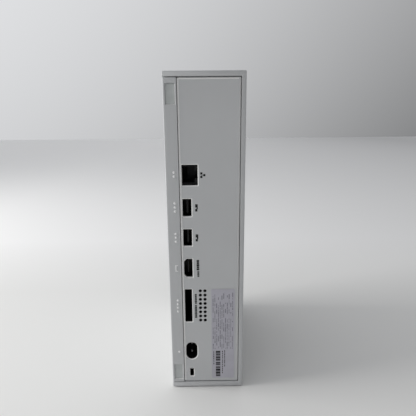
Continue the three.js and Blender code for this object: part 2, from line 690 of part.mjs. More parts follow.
const boardY = [Y_FRONT + WALL + BOARD_FRONT_GAP, Y_REAR - STRIP_THICKNESS - BOARD_REAR_GAP];
const boardZ = [BOARD_BOTTOM, Z_BOARD_TOP];
const chassisX = [
  X_BOARD_BACK + TOUCH_GAP + STANDOFF_HEIGHT,
  X_BOARD_BACK + TOUCH_GAP + STANDOFF_HEIGHT + CHASSIS_THICKNESS,
];
const chassisZ = [
  SEAL_LOWER_Z + BOSS_RADIUS + AIR_GAP,
  Math.min(SEAL_UPPER_Z, Z_BOARD_TOP) - BOSS_RADIUS - AIR_GAP,
];
const jackBack = Y_SOCKET - ETHERNET.depth - SOCKET_BACK;
const fixingY = [boardY[0] + BOARD_HOLE_INSET, jackBack - AIR_GAP - SCREW_HEAD_RADIUS];
const fixingZ = [boardZ[0] + BOARD_HOLE_INSET, chassisZ[1] - BOARD_HOLE_INSET];
const fixingPlaces = fixingY.flatMap((y) => fixingZ.map((z) => [y, z]));
const clampPlaces = [-1, 1].flatMap((a) => [-1, 1].map((b) => [
  a * CLAMP_SPREAD / 2,
  Z_FAN + b * CLAMP_SPREAD / 2,
]));

function mainboard() {
  const main = box([X_BOARD, X_BOARD_BACK], boardY, boardZ);
  const leg = box(
    [X_BOARD, X_BOARD_BACK],
    [boardY[0], boardY[0] + BOARD_LEG],
    [BOARD_LEG_BOTTOM, BOARD_BOTTOM + PAST],
  );
  const through = [X_BOARD - PAST, X_BOARD_BACK + PAST];
  const fixings = fixingPlaces.map((at) => bar('x', SCREW_SHANK_RADIUS + TOUCH_GAP, through, at, 10));
  const posts = clampPlaces.map((at) => bar('x', CLAMP_POST_RADIUS + TOUCH_GAP, through, at, 10));
  return cut(join(main, leg), ...fixings, ...posts);
}

// The steel chassis backs the board, with a folded lip on its front edge and four standoffs.
function chassisPlate() {
  const front = boardY[0] - TOUCH_GAP - CHASSIS_THICKNESS;
  const plate = box(chassisX, [front, boardY[1]], chassisZ);
  const lip = box(
    [chassisX[0] - CHASSIS_LIP, chassisX[1]],
    [front, front + CHASSIS_THICKNESS],
    [PAIR_BUTTON_Z + 2 * SWITCH_SIDE, chassisZ[1]],
  );
  const standoffs = fixingPlaces.map((at) => bar(
    'x', STANDOFF_RADIUS, [X_BOARD_BACK + TOUCH_GAP, chassisX[1]], at, 10,
  ));
  const threads = fixingPlaces.map((at) => bar(
    'x', SCREW_SHANK_RADIUS + TOUCH_GAP, [X_BOARD_BACK, chassisX[1] + PAST], at, 10,
  ));
  return cut(join(plate, lip, ...standoffs), ...threads);
}

function boardScrew() {
  const head = bar('x', SCREW_HEAD_RADIUS, [-SCREW_HEAD_HEIGHT, 0], [0, 0], 12);
  const reach = BOARD_THICKNESS + STANDOFF_HEIGHT + TOUCH_GAP;
  const shank = bar('x', SCREW_SHANK_RADIUS, [-SCREW_HEAD_HEIGHT / 2, reach], [0, 0], 10);
  return join(head, shank);
}

piece('mainboard', mainboard(), circuitBoard);
piece('chassis_plate', chassisPlate(), steel);
fixingPlaces.forEach(([y, z], index) => {
  piece(`board_screw_${index + 1}`, boardScrew(), steel, [X_BOARD - TOUCH_GAP, y, z]);
});

const chipX = X_BOARD - TOUCH_GAP;
const memoryOffset = CHIP_SIDE / 2 + MEMORY_GAP + MEMORY_SIZE[2] / 2;

piece(
  'processor',
  box([-CHIP_HEIGHT, 0], span(0, CHIP_SIDE), span(0, CHIP_SIDE)),
  chipPackage,
  [chipX, 0, Z_FAN],
);
[-1, 1].forEach((side, index) => {
  const chip = box([-MEMORY_SIZE[0], 0], span(0, MEMORY_SIZE[1]), span(0, MEMORY_SIZE[2]));
  piece(`memory_chip_${index + 1}`, chip, chipPackage, [chipX, 0, Z_FAN + side * memoryOffset]);
});

const frontSocketBack = Y_FRONT_INSIDE + TOUCH_GAP + USB.depth + SOCKET_BACK;
const driveY = frontSocketBack + AIR_GAP + DRIVE_SIZE[1] / 2;
const radioZ = Z_FAN - (SINK_LENGTH + RADIO_SIZE[2]) / 2 - DRIVE_INSET;
const driveZ = radioZ - (RADIO_SIZE[2] + DRIVE_SIZE[2]) / 2 - DRIVE_INSET;

piece(
  'storage_card',
  box([-DRIVE_SIZE[0], 0], span(0, DRIVE_SIZE[1]), span(0, DRIVE_SIZE[2])),
  circuitBoard,
  [chipX - DRIVE_LIFT, driveY, driveZ],
);
piece(
  'radio_module',
  box([-RADIO_SIZE[0], 0], span(0, RADIO_SIZE[1]), span(0, RADIO_SIZE[2])),
  steel,
  [chipX, driveY, radioZ],
);

// The supply's output reaches the board through a stacking connector.
piece(
  'supply_link',
  box([supplyX[1] + TOUCH_GAP, chipX], span(0, LINK_SIZE[1]), span(0, LINK_SIZE[0])),
  socketPlastic,
  [0, driveY + DRIVE_SIZE[1] + DRIVE_INSET, supplyMiddle[1] + LINK_SIZE[0]],
);

// ---- Heat sink and clamp -----------------------------------------------------------------

const sinkBaseX = [chipX - CHIP_HEIGHT - TOUCH_GAP - SINK_BASE, chipX - CHIP_HEIGHT - TOUCH_GAP];
const finTip = X_FAN_END + AIR_GAP;

// The fins stand on the base plate and run upright, one comb outline pushed along Z.
function heatSink() {
  const finCount = Math.floor(SINK_WIDTH / FIN_PITCH);
  const start = -(finCount - 1) * FIN_PITCH / 2;
  const teeth = times(finCount, (index) => {
    const y = start + index * FIN_PITCH;
    return [
      [sinkBaseX[0], y - FIN_THICKNESS / 2],
      [finTip, y - FIN_THICKNESS / 2],
      [finTip, y + FIN_THICKNESS / 2],
      [sinkBaseX[0], y + FIN_THICKNESS / 2],
    ];
  }).flat();
  const comb = outline([
    [sinkBaseX[1], -SINK_WIDTH / 2],
    [sinkBaseX[0], -SINK_WIDTH / 2],
    ...teeth,
    [sinkBaseX[0], SINK_WIDTH / 2],
    [sinkBaseX[1], SINK_WIDTH / 2],
  ]);
  const seats = clampPlaces.map((at) => bar(
    'x',
    CLAMP_POST_RADIUS + TOUCH_GAP,
    [sinkBaseX[1] - CLAMP_POST_SEAT - TOUCH_GAP, sinkBaseX[1] + PAST],
    at,
    10,
  ));
  return cut(prism('z', comb, span(Z_FAN, SINK_LENGTH)), ...seats);
}

// The clamp crosses behind the processor and pulls the heat sink on with four posts.
function sinkClamp() {
  const x = [X_BOARD_BACK + TOUCH_GAP, chassisX[0] - TOUCH_GAP];
  const bars = [1, -1].map((slope) => {
    const arm = box(x, span(0, CLAMP_SPREAD * Math.SQRT2 + CLAMP_WIDTH), span(0, CLAMP_WIDTH));
    arm.rotateX(slope * Math.PI / 4);
    return arm.translate(0, 0, Z_FAN);
  });
  const posts = clampPlaces.map((at) => bar(
    'x', CLAMP_POST_RADIUS, [sinkBaseX[1] - CLAMP_POST_SEAT, x[1]], at, 10,
  ));
  return join(bars[0], bars[1], ...posts);
}

piece('heat_sink', heatSink(), aluminium);
piece('sink_clamp', sinkClamp(), springSteel);

// ---- Fan and grille ----------------------------------------------------------------------

const fan = group(X_FAN_START, 0, Z_FAN);
const rotorFront = FAN_RUNNING_GAP;
const rotorBack = FAN_THICKNESS - FAN_BACK_PLATE - FAN_RUNNING_GAP;

function fanFrame() {
  const ring = cut(
    bar('x', FAN_RADIUS, [0, FAN_THICKNESS], [0, 0], 48),
    bar('x', FAN_RADIUS - FAN_RING, [-PAST, FAN_THICKNESS + PAST], [0, 0], 48),
  );
  const plateX = [FAN_THICKNESS - FAN_BACK_PLATE, FAN_THICKNESS];
  const plate = bar('x', FAN_HUB_RADIUS, plateX, [0, 0], 24);
  const strutReach = FAN_RADIUS - FAN_RING / 2;
  const struts = times(FAN_STRUTS, (index) => {
    const strut = box(plateX, [FAN_HUB_RADIUS / 2, strutReach], span(0, FAN_STRUT_WIDTH));
    return strut.rotateX(index * 2 * Math.PI / FAN_STRUTS);
  });
  const ears = times(FAN_STRUTS, (index) => {
    const angle = (index + 0.5) * 2 * Math.PI / FAN_STRUTS;
    const at = [Math.cos(angle) * FAN_RADIUS, Math.sin(angle) * FAN_RADIUS];
    const ear = bar('x', FAN_EAR_RADIUS, [FAN_THICKNESS - FAN_EAR_THICKNESS, FAN_THICKNESS], at, 12);
    return cut(ear, bar('x', FAN_RADIUS - FAN_RING, [-PAST, FAN_THICKNESS + PAST], [0, 0], 48));
  });
  const bore = bar(
    'x', BEARING_RADIUS + TOUCH_GAP, [0, FAN_THICKNESS + PAST], [0, 0], 20,
  );
  return cut(join(ring, plate, ...struts, ...ears), bore);
}

// One blade: a thin skin lofted from the hub to the tip, pitched to the airflow.
function fanBlade() {
  const rootRadius = FAN_HUB_RADIUS - FAN_CUP_WALL / 2;
  const tipRadius = FAN_RADIUS - FAN_RING - FAN_TIP_CLEARANCE;
  const bladeEnd = rotorBack - BLADE_THICKNESS - FAN_RUNNING_GAP;
  const positions = [];
  const side = (layer) => times(BLADE_STEPS + 1, (i) => times(BLADE_STEPS + 1, (j) => {
    const radius = THREE.MathUtils.lerp(rootRadius, tipRadius, i / BLADE_STEPS);
    const chord = j / BLADE_STEPS;
    const angle = chord * BLADE_CHORD_ANGLE + BLADE_SWEEP_ANGLE * (i / BLADE_STEPS) ** 2;
    const camber = BLADE_CAMBER * Math.sin(Math.PI * chord);
    const x = THREE.MathUtils.lerp(rotorFront + FAN_RUNNING_GAP, bladeEnd, chord) - camber;
    positions.push(x + layer * BLADE_THICKNESS, radius * Math.cos(angle), radius * Math.sin(angle));
    return positions.length / 3 - 1;
  }));
  const near = side(0);
  const far = side(1);
  const index = [];
  const quad = (a, b, c, d) => index.push(a, b, c, a, c, d);
  for (let i = 0; i < BLADE_STEPS; i += 1) {
    for (let j = 0; j < BLADE_STEPS; j += 1) {
      quad(near[i][j], near[i][j + 1], near[i + 1][j + 1], near[i + 1][j]);
      quad(far[i][j], far[i + 1][j], far[i + 1][j + 1], far[i][j + 1]);
    }
    quad(near[i][0], near[i + 1][0], far[i + 1][0], far[i][0]);
    quad(near[i + 1][BLADE_STEPS], near[i][BLADE_STEPS], far[i][BLADE_STEPS], far[i + 1][BLADE_STEPS]);
  }
  for (let j = 0; j < BLADE_STEPS; j += 1) {
    quad(near[0][j + 1], near[0][j], far[0][j], far[0][j + 1]);
    quad(near[BLADE_STEPS][j], near[BLADE_STEPS][j + 1], far[BLADE_STEPS][j + 1], far[BLADE_STEPS][j]);
  }
  const geometry = new THREE.BufferGeometry();
  geometry.setAttribute('position', new THREE.Float32BufferAttribute(positions, 3));
  geometry.setIndex(index);
  return geometry;
}

function fanRotor() {
  const cup = bar('x', FAN_HUB_RADIUS, [rotorFront, rotorBack - 1], [0, 0], 32);
  const hollow = bar(
    'x', FAN_HUB_RADIUS - FAN_CUP_WALL, [rotorFront + FAN_CUP_WALL, rotorBack], [0, 0], 32,
  );
  const shaftHole = bar('x', SHAFT_RADIUS + TOUCH_GAP, [0, rotorBack], [0, 0], 16);
  const blades = times(FAN_BLADES, (index) => fanBlade().rotateX(index * 2 * Math.PI / FAN_BLADES));
  return cut(join(cup, ...blades), hollow, shaftHole);
}

const statorX = [rotorFront + FAN_CUP_WALL + AIR_GAP, FAN_THICKNESS - FAN_BACK_PLATE - TOUCH_GAP];
const bearingX = [statorX[0], FAN_THICKNESS];

function fanStator() {
  const core = bar('x', STATOR_RADIUS, statorX, [0, 0], 24);
  const slots = times(STATOR_SLOTS, (index) => {
    const slot = box(
      [statorX[0] - PAST, statorX[1] + PAST],
      [STATOR_RADIUS - STATOR_SLOT_DEPTH, STATOR_RADIUS + PAST],
      span(0, STATOR_SLOT_WIDTH),
    );
    return slot.rotateX(index * 2 * Math.PI / STATOR_SLOTS);
  });
  const bore = bar('x', BEARING_RADIUS + TOUCH_GAP, [0, FAN_THICKNESS], [0, 0], 20);
  return cut(core, bore, ...slots);
}

const bearing = cut(
  bar('x', BEARING_RADIUS, bearingX, [0, 0], 20),
  bar('x', SHAFT_RADIUS + BEARING_CLEARANCE, [0, FAN_THICKNESS + PAST], [0, 0], 20),
);
const shaft = bar('x', SHAFT_RADIUS, [rotorFront, FAN_THICKNESS - SHAFT_SHORT], [0, 0], 20);
const magnetOuter = FAN_HUB_RADIUS - FAN_CUP_WALL - TOUCH_GAP;
const magnetX = [rotorFront + FAN_CUP_WALL + TOUCH_GAP, rotorBack - 1];
const magnet = cut(
  bar('x', magnetOuter, magnetX, [0, 0], 32),
  bar('x', magnetOuter - MAGNET_THICKNESS, [0, FAN_THICKNESS], [0, 0], 32),
);

piece('fan_frame', fanFrame(), blackPlastic, [0, 0, 0], fan);
piece('fan_stator', fanStator(), copper, [0, 0, 0], fan);
piece('fan_bearing', bearing, copper, [0, 0, 0], fan);
piece('fan_rotor', fanRotor(), blackPlastic, [0, 0, 0], fan);
piece('fan_shaft', shaft, steel, [0, 0, 0], fan);
piece('fan_magnet', magnet, springSteel, [0, 0, 0], fan);

// The round grille: rings of holes through a black disc whose flange sits behind the wall.
function fanGrille() {
  const discEnd = WALL + TOUCH_GAP + GRILLE_FLANGE_THICKNESS / 2;
  const disc = bar('x', GRILLE_RADIUS, [GRILLE_RECESS, discEnd], [0, 0], 48);
  const flange = bar(
    'x',
    GRILLE_RADIUS + GRILLE_FLANGE,
    [WALL + TOUCH_GAP, WALL + TOUCH_GAP + GRILLE_FLANGE_THICKNESS],
    [0, 0],
    48,
  );
  const backRelief = bar(
    'x',
    GRILLE_RADIUS - GRILLE_FLANGE,
    [GRILLE_RECESS + GRILLE_THICKNESS, WALL + TOUCH_GAP + GRILLE_FLANGE_THICKNESS + PAST],
    [0, 0],
    48,
  );
  const holes = times(GRILLE_RINGS, (ring) => times(6 * (ring + 1), (index) => {
    const angle = index * 2 * Math.PI / (6 * (ring + 1));
    const radius = (ring + 1) * GRILLE_RING_PITCH;
    const at = [radius * Math.cos(angle), radius * Math.sin(angle)];
    return bar('x', GRILLE_HOLE_RADIUS, [-PAST, WALL + BEYOND], at, 6);
  })).flat();
  return cut(join(disc, flange), backRelief, ...holes);
}

piece('fan_grille', fanGrille(), blackPlastic, [X_FAN, 0, Z_FAN]);

// ---- Front controls ----------------------------------------------------------------------

// A button whose face is at y = 0 and whose stem runs to +y. A flange stops it at the wall.
const flangeStart = WALL - BUTTON_RECESS + TOUCH_GAP;
const flangeEnd = flangeStart + BUTTON_FLANGE_THICKNESS;
const stemEnd = flangeEnd + BUTTON_STEM_LENGTH;

function button(radius, sides) {
  const face = bar('y', radius, [0, flangeEnd], [0, 0], sides);
  const flange = bar('y', radius + BUTTON_FLANGE, [flangeStart, flangeEnd], [0, 0], sides);
  const stem = bar('y', PLUNGER_RADIUS, [flangeEnd - BUTTON_FLANGE_THICKNESS / 2, stemEnd], [0, 0], 12);
  return join(face, flange, stem);
}

// A push switch behind a button: its plunger slides in a round well in the switch's body.
const plungerStart = stemEnd + TOUCH_GAP;
const switchStart = (travel) => plungerStart + travel + TOUCH_GAP;

function switchBody(travel) {
  const start = switchStart(travel);
  const body = box(span(0, SWITCH_SIDE), [start, start + SWITCH_DEPTH], span(0, SWITCH_SIDE));
  const wellEnds = [start - PAST, start + WELL_DEPTH];
  return cut(body, bar('y', PLUNGER_RADIUS + PLUNGER_CLEARANCE, wellEnds, [0, 0], 12));
}

function plunger(travel) {
  const end = switchStart(travel) + WELL_DEPTH - travel - TOUCH_GAP;
  return bar('y', PLUNGER_RADIUS, [plungerStart, end], [0, 0], 12);
}

const faceY = Y_FRONT + BUTTON_RECESS;
const powerGroup = group(buttonX, faceY, powerButtonZ);
const pairGroup = group(pairButtonX, faceY, PAIR_BUTTON_Z);

piece('power_button', button(POWER_BUTTON_RADIUS, 40), whitePlastic, [0, 0, 0], powerGroup);
piece('power_plunger', plunger(POWER_TRAVEL), blackPlastic, [0, 0, 0], powerGroup);
piece('power_switch', switchBody(POWER_TRAVEL), chipPackage, [0, 0, 0], powerGroup);
piece('pair_button', button(PAIR_BUTTON_RADIUS, 24), whitePlastic, [0, 0, 0], pairGroup);
piece('pair_plunger', plunger(PAIR_TRAVEL), blackPlastic, [0, 0, 0], pairGroup);
piece('pair_switch', switchBody(PAIR_TRAVEL), chipPackage, [0, 0, 0], pairGroup);

// A small board behind the power button carries its switch.
const frontBoardStart = switchStart(POWER_TRAVEL) + SWITCH_DEPTH + TOUCH_GAP;
const frontBoardY = [frontBoardStart, frontBoardStart + BOARD_THICKNESS];
piece(
  'front_board',
  box(span(0, FRONT_BOARD_SIZE[0]), frontBoardY, span(0, FRONT_BOARD_SIZE[1])),
  circuitBoard,
  [0, 0, 0],
  powerGroup,
);

export default assembly;
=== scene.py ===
"""Looks of a slim disc-less game console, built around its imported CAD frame.

The frame's +Y face carries the sockets, -X the round fan grille, +X the feet and -Y the buttons.
"""

import json
import math
import random

import bmesh
import bpy
from mathutils import Matrix, Vector
from mathutils.geometry import delaunay_2d_cdt


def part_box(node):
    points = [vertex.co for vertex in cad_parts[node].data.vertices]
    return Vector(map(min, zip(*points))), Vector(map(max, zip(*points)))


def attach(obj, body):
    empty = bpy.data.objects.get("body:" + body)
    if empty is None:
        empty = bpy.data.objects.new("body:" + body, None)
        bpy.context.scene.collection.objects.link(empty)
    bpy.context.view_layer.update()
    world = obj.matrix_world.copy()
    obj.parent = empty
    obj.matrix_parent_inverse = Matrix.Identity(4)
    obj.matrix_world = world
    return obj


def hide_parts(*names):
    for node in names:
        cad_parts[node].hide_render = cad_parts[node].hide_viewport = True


MM = 0.001
CONSOLE = "console"

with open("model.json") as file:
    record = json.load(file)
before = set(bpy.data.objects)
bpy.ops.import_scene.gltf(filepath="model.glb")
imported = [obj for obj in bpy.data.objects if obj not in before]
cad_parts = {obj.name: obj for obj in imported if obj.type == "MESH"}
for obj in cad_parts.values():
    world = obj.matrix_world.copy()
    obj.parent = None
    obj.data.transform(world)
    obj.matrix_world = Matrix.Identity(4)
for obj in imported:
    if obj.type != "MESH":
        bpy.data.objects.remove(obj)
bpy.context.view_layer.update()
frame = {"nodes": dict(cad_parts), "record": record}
nodes = frame["nodes"]
draw = random.Random(7)


# ---- Camera, floor and light -------------------------------------------------------------

PICTURE_WIDTH = 416
FOCAL_PIXELS = 350.0
SENSOR_WIDTH = 36.0
CAMERA_PLACE = Vector((-1.4, 352.1, 235.6)) * MM
CAMERA_TURN = math.radians(180 - 0.263)
CAMERA_TILT = math.radians(90 - 13.38)
CAMERA_ROLL = math.radians(-0.528)
CAMERA_CLIP = (0.01, 50)


def make_camera():
    data = bpy.data.cameras.new("camera")
    data.sensor_width = SENSOR_WIDTH
    data.lens = FOCAL_PIXELS / PICTURE_WIDTH * SENSOR_WIDTH
    data.clip_start, data.clip_end = CAMERA_CLIP
    camera = bpy.data.objects.new("camera", data)
    turn = Matrix.Rotation(CAMERA_TURN, 4, "Z")
    tilt = Matrix.Rotation(CAMERA_TILT, 4, "X")
    roll = Matrix.Rotation(CAMERA_ROLL, 4, "Z")
    camera.matrix_world = Matrix.Translation(CAMERA_PLACE) @ turn @ tilt @ roll
    bpy.context.scene.collection.objects.link(camera)
    bpy.context.scene.camera = camera


def area_light(name, place, target, size, power, colour):
    data = bpy.data.lights.new(name, "AREA")
    data.shape = "RECTANGLE"
    data.size, data.size_y = size
    data.energy = power
    data.color = colour
    light = bpy.data.objects.new(name, data)
    light.location = place
    light.rotation_euler = (Vector(target) - Vector(place)).to_track_quat("-Z", "Y").to_euler()
    bpy.context.scene.collection.objects.link(light)


# ---- Materials ---------------------------------------------------------------------------


# A colour mix node lists its sockets for every data type; these are the ones for colour.
MIX_FIRST, MIX_SECOND, MIX_RESULT = 6, 7, 2
BEVEL_SAMPLES = 6


class Shader:
    """A material with one principled shader and a short way to add and join its nodes."""

    def __init__(self, name, edge=0.0):
        self.edge = edge
        self.material = bpy.data.materials.new(name)
        self.material.use_nodes = True
        self.tree = self.material.node_tree
        self.base = self.tree.nodes["Principled BSDF"]
        self.place = self.add("ShaderNodeTexCoord").outputs["Object"]

    def add(self, kind, **settings):
        node = self.tree.nodes.new(kind)
        for name, value in settings.items():
            setattr(node, name, value)
        return node

    def join(self, source, target):
        self.tree.links.new(source, target)

    def noise(self, scale, detail=2.0, stretch=(1, 1, 1)):
        mapping = self.add("ShaderNodeMapping")
        mapping.inputs["Scale"].default_value = stretch
        self.join(self.place, mapping.inputs["Vector"])
        texture = self.add("ShaderNodeTexNoise")
        texture.inputs["Scale"].default_value = scale
        texture.inputs["Detail"].default_value = detail
        self.join(mapping.outputs["Vector"], texture.inputs["Vector"])
        return texture.outputs["Fac"]

    def ramp(self, source, low, high, start=0.3, end=0.7):
        ramp = self.add("ShaderNodeValToRGB")
        ramp.color_ramp.elements[0].position = start
        ramp.color_ramp.elements[0].color = (*low, 1)
        ramp.color_ramp.elements[1].position = end
        ramp.color_ramp.elements[1].color = (*high, 1)
        self.join(source, ramp.inputs["Fac"])
        return ramp.outputs["Color"]

    def spread(self, source, low, high, start=0.3, end=0.7):
        node = self.add("ShaderNodeMapRange")
        node.inputs["From Min"].default_value = start
        node.inputs["From Max"].default_value = end
        node.inputs["To Min"].default_value = low
        node.inputs["To Max"].default_value = high
        self.join(source, node.inputs["Value"])
        return node.outputs["Result"]

    def bump(self, source, strength, depth):
        node = self.add("ShaderNodeBump")
        node.inputs["Strength"].default_value = strength
        node.inputs["Distance"].default_value = depth
        self.join(source, node.inputs["Height"])
        if self.edge:
            rounding = self.add("ShaderNodeBevel", samples=BEVEL_SAMPLES)
            rounding.inputs["Radius"].default_value = self.edge
            self.join(rounding.outputs["Normal"], node.inputs["Normal"])
        self.join(node.outputs["Normal"], self.base.inputs["Normal"])

    def set(self, **values):
        for name, value in values.items():
            self.base.inputs[name.replace("_", " ")].default_value = value


def shade(colour, factor):
    """The colour made lighter or darker by a factor."""
    return tuple(min(1.0, part * factor) for part in colour)


def moulded(name, colour, roughness, grain=1400, depth=0.00004, strength=0.35, mottle=0.02, edge=0.0):
    """Moulded plastic: a fine grain, faint mottling and uneven gloss; edge is its edges' softness."""
    shader = Shader(name, edge)
    cloud = shader.noise(22, 4)
    tone = shader.ramp(cloud, shade(colour, 1 - mottle), shade(colour, 1 + mottle))
    shader.join(tone, shader.base.inputs["Base Color"])
    gloss = shader.spread(shader.noise(60, 3), roughness - 0.05, roughness + 0.05)
    shader.join(gloss, shader.base.inputs["Roughness"])
    shader.bump(shader.noise(grain, 3), strength, depth)
    shader.set(Specular_IOR_Level=0.4)
    return shader.material


def metal(name, colour, roughness, stretch=(1, 1, 1), scale=300):
    """Metal with a grain stretched along one direction, as drawing and rolling leave it."""
    shader = Shader(name)
    grain = shader.noise(scale, 4, stretch)
    tone = shader.ramp(grain, shade(colour, 0.86), shade(colour, 1.1))
    shader.join(tone, shader.base.inputs["Base Color"])
    shader.join(shader.spread(grain, roughness - 0.08, roughness + 0.1), shader.base.inputs["Roughness"])
    shader.bump(grain, 0.15, 0.00003)
    shader.set(Metallic=1.0)
    return shader.material


def rubber(name, colour):
    """Soft rubber: matt, dusty in patches, with a finely pored skin."""
    shader = Shader(name)
    dust = shader.noise(90, 5)
    tone = shader.ramp(dust, shade(colour, 0.88), shade(colour, 1.12))
    shader.join(tone, shader.base.inputs["Base Color"])
    shader.join(shader.spread(dust, 0.8, 0.95), shader.base.inputs["Roughness"])
    shader.bump(shader.noise(900, 2), 0.4, 0.00006)
    return shader.material


def film(name, colour, gloss):
    """Printed film: smooth, with faint waviness where the glue below is uneven."""
    shader = Shader(name)
    wave = shader.noise(140, 2)
    tone = shader.ramp(wave, shade(colour, 0.96), shade(colour, 1.04))
    shader.join(tone, shader.base.inputs["Base Color"])
    shader.join(shader.spread(wave, gloss - 0.05, gloss + 0.08), shader.base.inputs["Roughness"])
    shader.bump(wave, 0.2, 0.00005)
    return shader.material


def laminate(name, colour):
    """Circuit laminate under solder mask, with slanting bands that stand for routed tracks."""
    shader = Shader(name)
    weave = shader.add("ShaderNodeTexWave", wave_type="BANDS", bands_direction="DIAGONAL")
    weave.inputs["Scale"].default_value = 260
    weave.inputs["Distortion"].default_value = 6
    weave.inputs["Detail"].default_value = 2
    shader.join(shader.place, weave.inputs["Vector"])
    tracks = shader.ramp(weave.outputs["Fac"], shade(colour, 0.7), shade(colour, 1.8), 0.45, 0.55)
    shader.join(tracks, shader.base.inputs["Base Color"])
    shader.join(shader.spread(weave.outputs["Fac"], 0.3, 0.5), shader.base.inputs["Roughness"])
    shader.bump(weave.outputs["Fac"], 0.2, 0.00003)
    shader.set(Coat_Weight=0.3, Coat_Roughness=0.2)
    return shader.material


def wound(name, colour):
    """Lacquered copper wire wound side by side; the dark part of each band is painted shade in the
    groove between turns.
    """
    shader = Shader(name)
    turns = shader.add("ShaderNodeTexWave", wave_type="BANDS", bands_direction="Z")
    turns.inputs["Scale"].default_value = 420
    turns.inputs["Distortion"].default_value = 0.6
    shader.join(shader.place, turns.inputs["Vector"])
    shader.join(
        shader.ramp(turns.outputs["Fac"], shade(colour, 0.45), shade(colour, 1.15), 0.1, 0.7),
        shader.base.inputs["Base Color"],
    )
    shader.join(shader.spread(turns.outputs["Fac"], 0.5, 0.28), shader.base.inputs["Roughness"])
    shader.bump(turns.outputs["Fac"], 0.6, 0.0002)
    shader.set(Metallic=0.9)
    return shader.material


FLOOR_NEAR = (0.80, 0.80, 0.79, 1)
FLOOR_FAR_PAINTED_SHADE = (0.60, 0.60, 0.605)
FLOOR_FAR_PAINTED_LIGHT = (0.97, 0.97, 0.97)
# In metres: where the far floor goes from painted shade to painted light along X, and from far to near
# along Y.
FLOOR_ACROSS = (-2.6, 0.6)
FLOOR_AWAY = (-0.35, -0.12)


def floor_material():
    """Pale floor whose far end takes the tone of the backdrop: painted light towards +X, painted shade
    towards -X.
    """
    shader = Shader("floor_surface")
    axes = shader.add("ShaderNodeSeparateXYZ")
    shader.join(shader.place, axes.inputs["Vector"])
    across = shader.spread(axes.outputs["X"], 0, 1, *FLOOR_ACROSS)
    far_painted_light_and_shade = shader.ramp(across, FLOOR_FAR_PAINTED_SHADE, FLOOR_FAR_PAINTED_LIGHT, 0, 1)
    mix = shader.add("ShaderNodeMix", data_type="RGBA")
    mix.inputs[MIX_FIRST].default_value = FLOOR_NEAR
    shader.join(shader.spread(axes.outputs["Y"], 1, 0, *FLOOR_AWAY), mix.inputs["Factor"])
    shader.join(far_painted_light_and_shade, mix.inputs[MIX_SECOND])
    shader.join(mix.outputs[MIX_RESULT], shader.base.inputs["Base Color"])
    shader.join(shader.spread(shader.noise(40, 2), 0.6, 0.7), shader.base.inputs["Roughness"])
    shader.set(Specular_IOR_Level=0.2)
    return shader.material


WHITE = (0.62, 0.63, 0.64)
surfaces = {
    "white_shell": moulded("white_shell_plastic", shade(WHITE, 0.95), 0.5, edge=0.35 * MM),
    "white_panel": moulded("white_panel_plastic", shade(WHITE, 0.97), 0.55, grain=1100),
    "black_grille": moulded("black_grille_plastic", (0.022, 0.022, 0.024), 0.5, mottle=0.1),
    "socket_black": moulded("socket_plastic", (0.006, 0.006, 0.007), 0.5, grain=2000, mottle=0.12),
    "foot_rubber": rubber("foot_rubber_skin", (0.30, 0.305, 0.31)),
    "seal_film": film("seal_printed_film", (0.55, 0.575, 0.57), 0.42),
    "label_film": film("label_printed_film", (0.52, 0.51, 0.57), 0.5),
    "steel": metal("stamped_steel", (0.52, 0.53, 0.55), 0.36, (1, 1, 14)),
    "board": laminate("circuit_laminate", (0.015, 0.07, 0.04)),
    "chip": moulded("chip_package", (0.03, 0.03, 0.033), 0.42, grain=2600, mottle=0.15),
    "heat_sink": metal("extruded_aluminium", (0.72, 0.73, 0.75), 0.34, (1, 1, 0.06), 900),
    "copper": wound("wound_copper", (0.72, 0.36, 0.18)),
    "supply_shell": moulded("supply_plastic", (0.03, 0.031, 0.035), 0.55, mottle=0.1),
}
print_ink = moulded("mark_ink", (0.004, 0.006, 0.006), 0.6, grain=3000, mottle=0.2)
soft_ink = moulded("mark_ink_soft", (0.03, 0.036, 0.036), 0.6, grain=3000, mottle=0.2)
faint_ink = film("label_faint_ink", (0.20, 0.20, 0.24), 0.55)
dark_ink = film("label_dark_ink", (0.01, 0.01, 0.014), 0.6)
dot_white = moulded("touch_dot_plastic", (0.93, 0.93, 0.93), 0.4, mottle=0.005)
# Pale plastic on eased edges, pocket slopes and narrow strips: painted highlight where these edges catch
# the light.
painted_highlight_white = moulded("edge_painted_highlight", (0.92, 0.92, 0.91), 0.35, grain=2400, depth=0.00001)
# Socket shells in near-black metal: painted shade for the unlit inside of the sockets.
painted_shade_socket_metal = metal("socket_metal_painted_shade", (0.025, 0.025, 0.027), 0.42, (1, 12, 1), 200)
contact_gold = metal("contact_gold", (0.11, 0.08, 0.045), 0.4, (1, 10, 1), 400)
pin_nickel = metal("pin_nickel", (0.5, 0.5, 0.51), 0.3, (1, 10, 1), 400)


# ---- Mesh helpers ------------------------------------------------------------------------


# A face slopes when its normal's share along Y lies between these.
SLOPE_LEAST = 0.3
SLOPE_MOST = 0.95


def add_piece(name, bm, material, body=CONSOLE, replaces=(), bevel=0.0, smooth=30, eased=None):
    """Makes an object of a bmesh in the frame's place, gives it its surface and its ride.

    The faces that slope away from the Y axis, such as chamfers, take the eased material if given.
    """
    bmesh.ops.recalc_face_normals(bm, faces=bm.faces)
    mesh = bpy.data.meshes.new(name)
    bm.to_mesh(mesh)
    bm.free()
    for polygon in mesh.polygons:
        polygon.use_smooth = True
    mesh.set_sharp_from_angle(angle=math.radians(smooth))
    mesh.materials.append(material)
    if eased:
        mesh.materials.append(eased)
        for polygon in mesh.polygons:
            if SLOPE_LEAST < abs(polygon.normal.y) < SLOPE_MOST:
                polygon.material_index = 1
    piece = bpy.data.objects.new(name, mesh)
    bpy.context.scene.collection.objects.link(piece)
    if bevel:
        add_bevel(piece, bevel)
    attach(piece, body)
    if replaces:
        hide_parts(*replaces)
    return piece


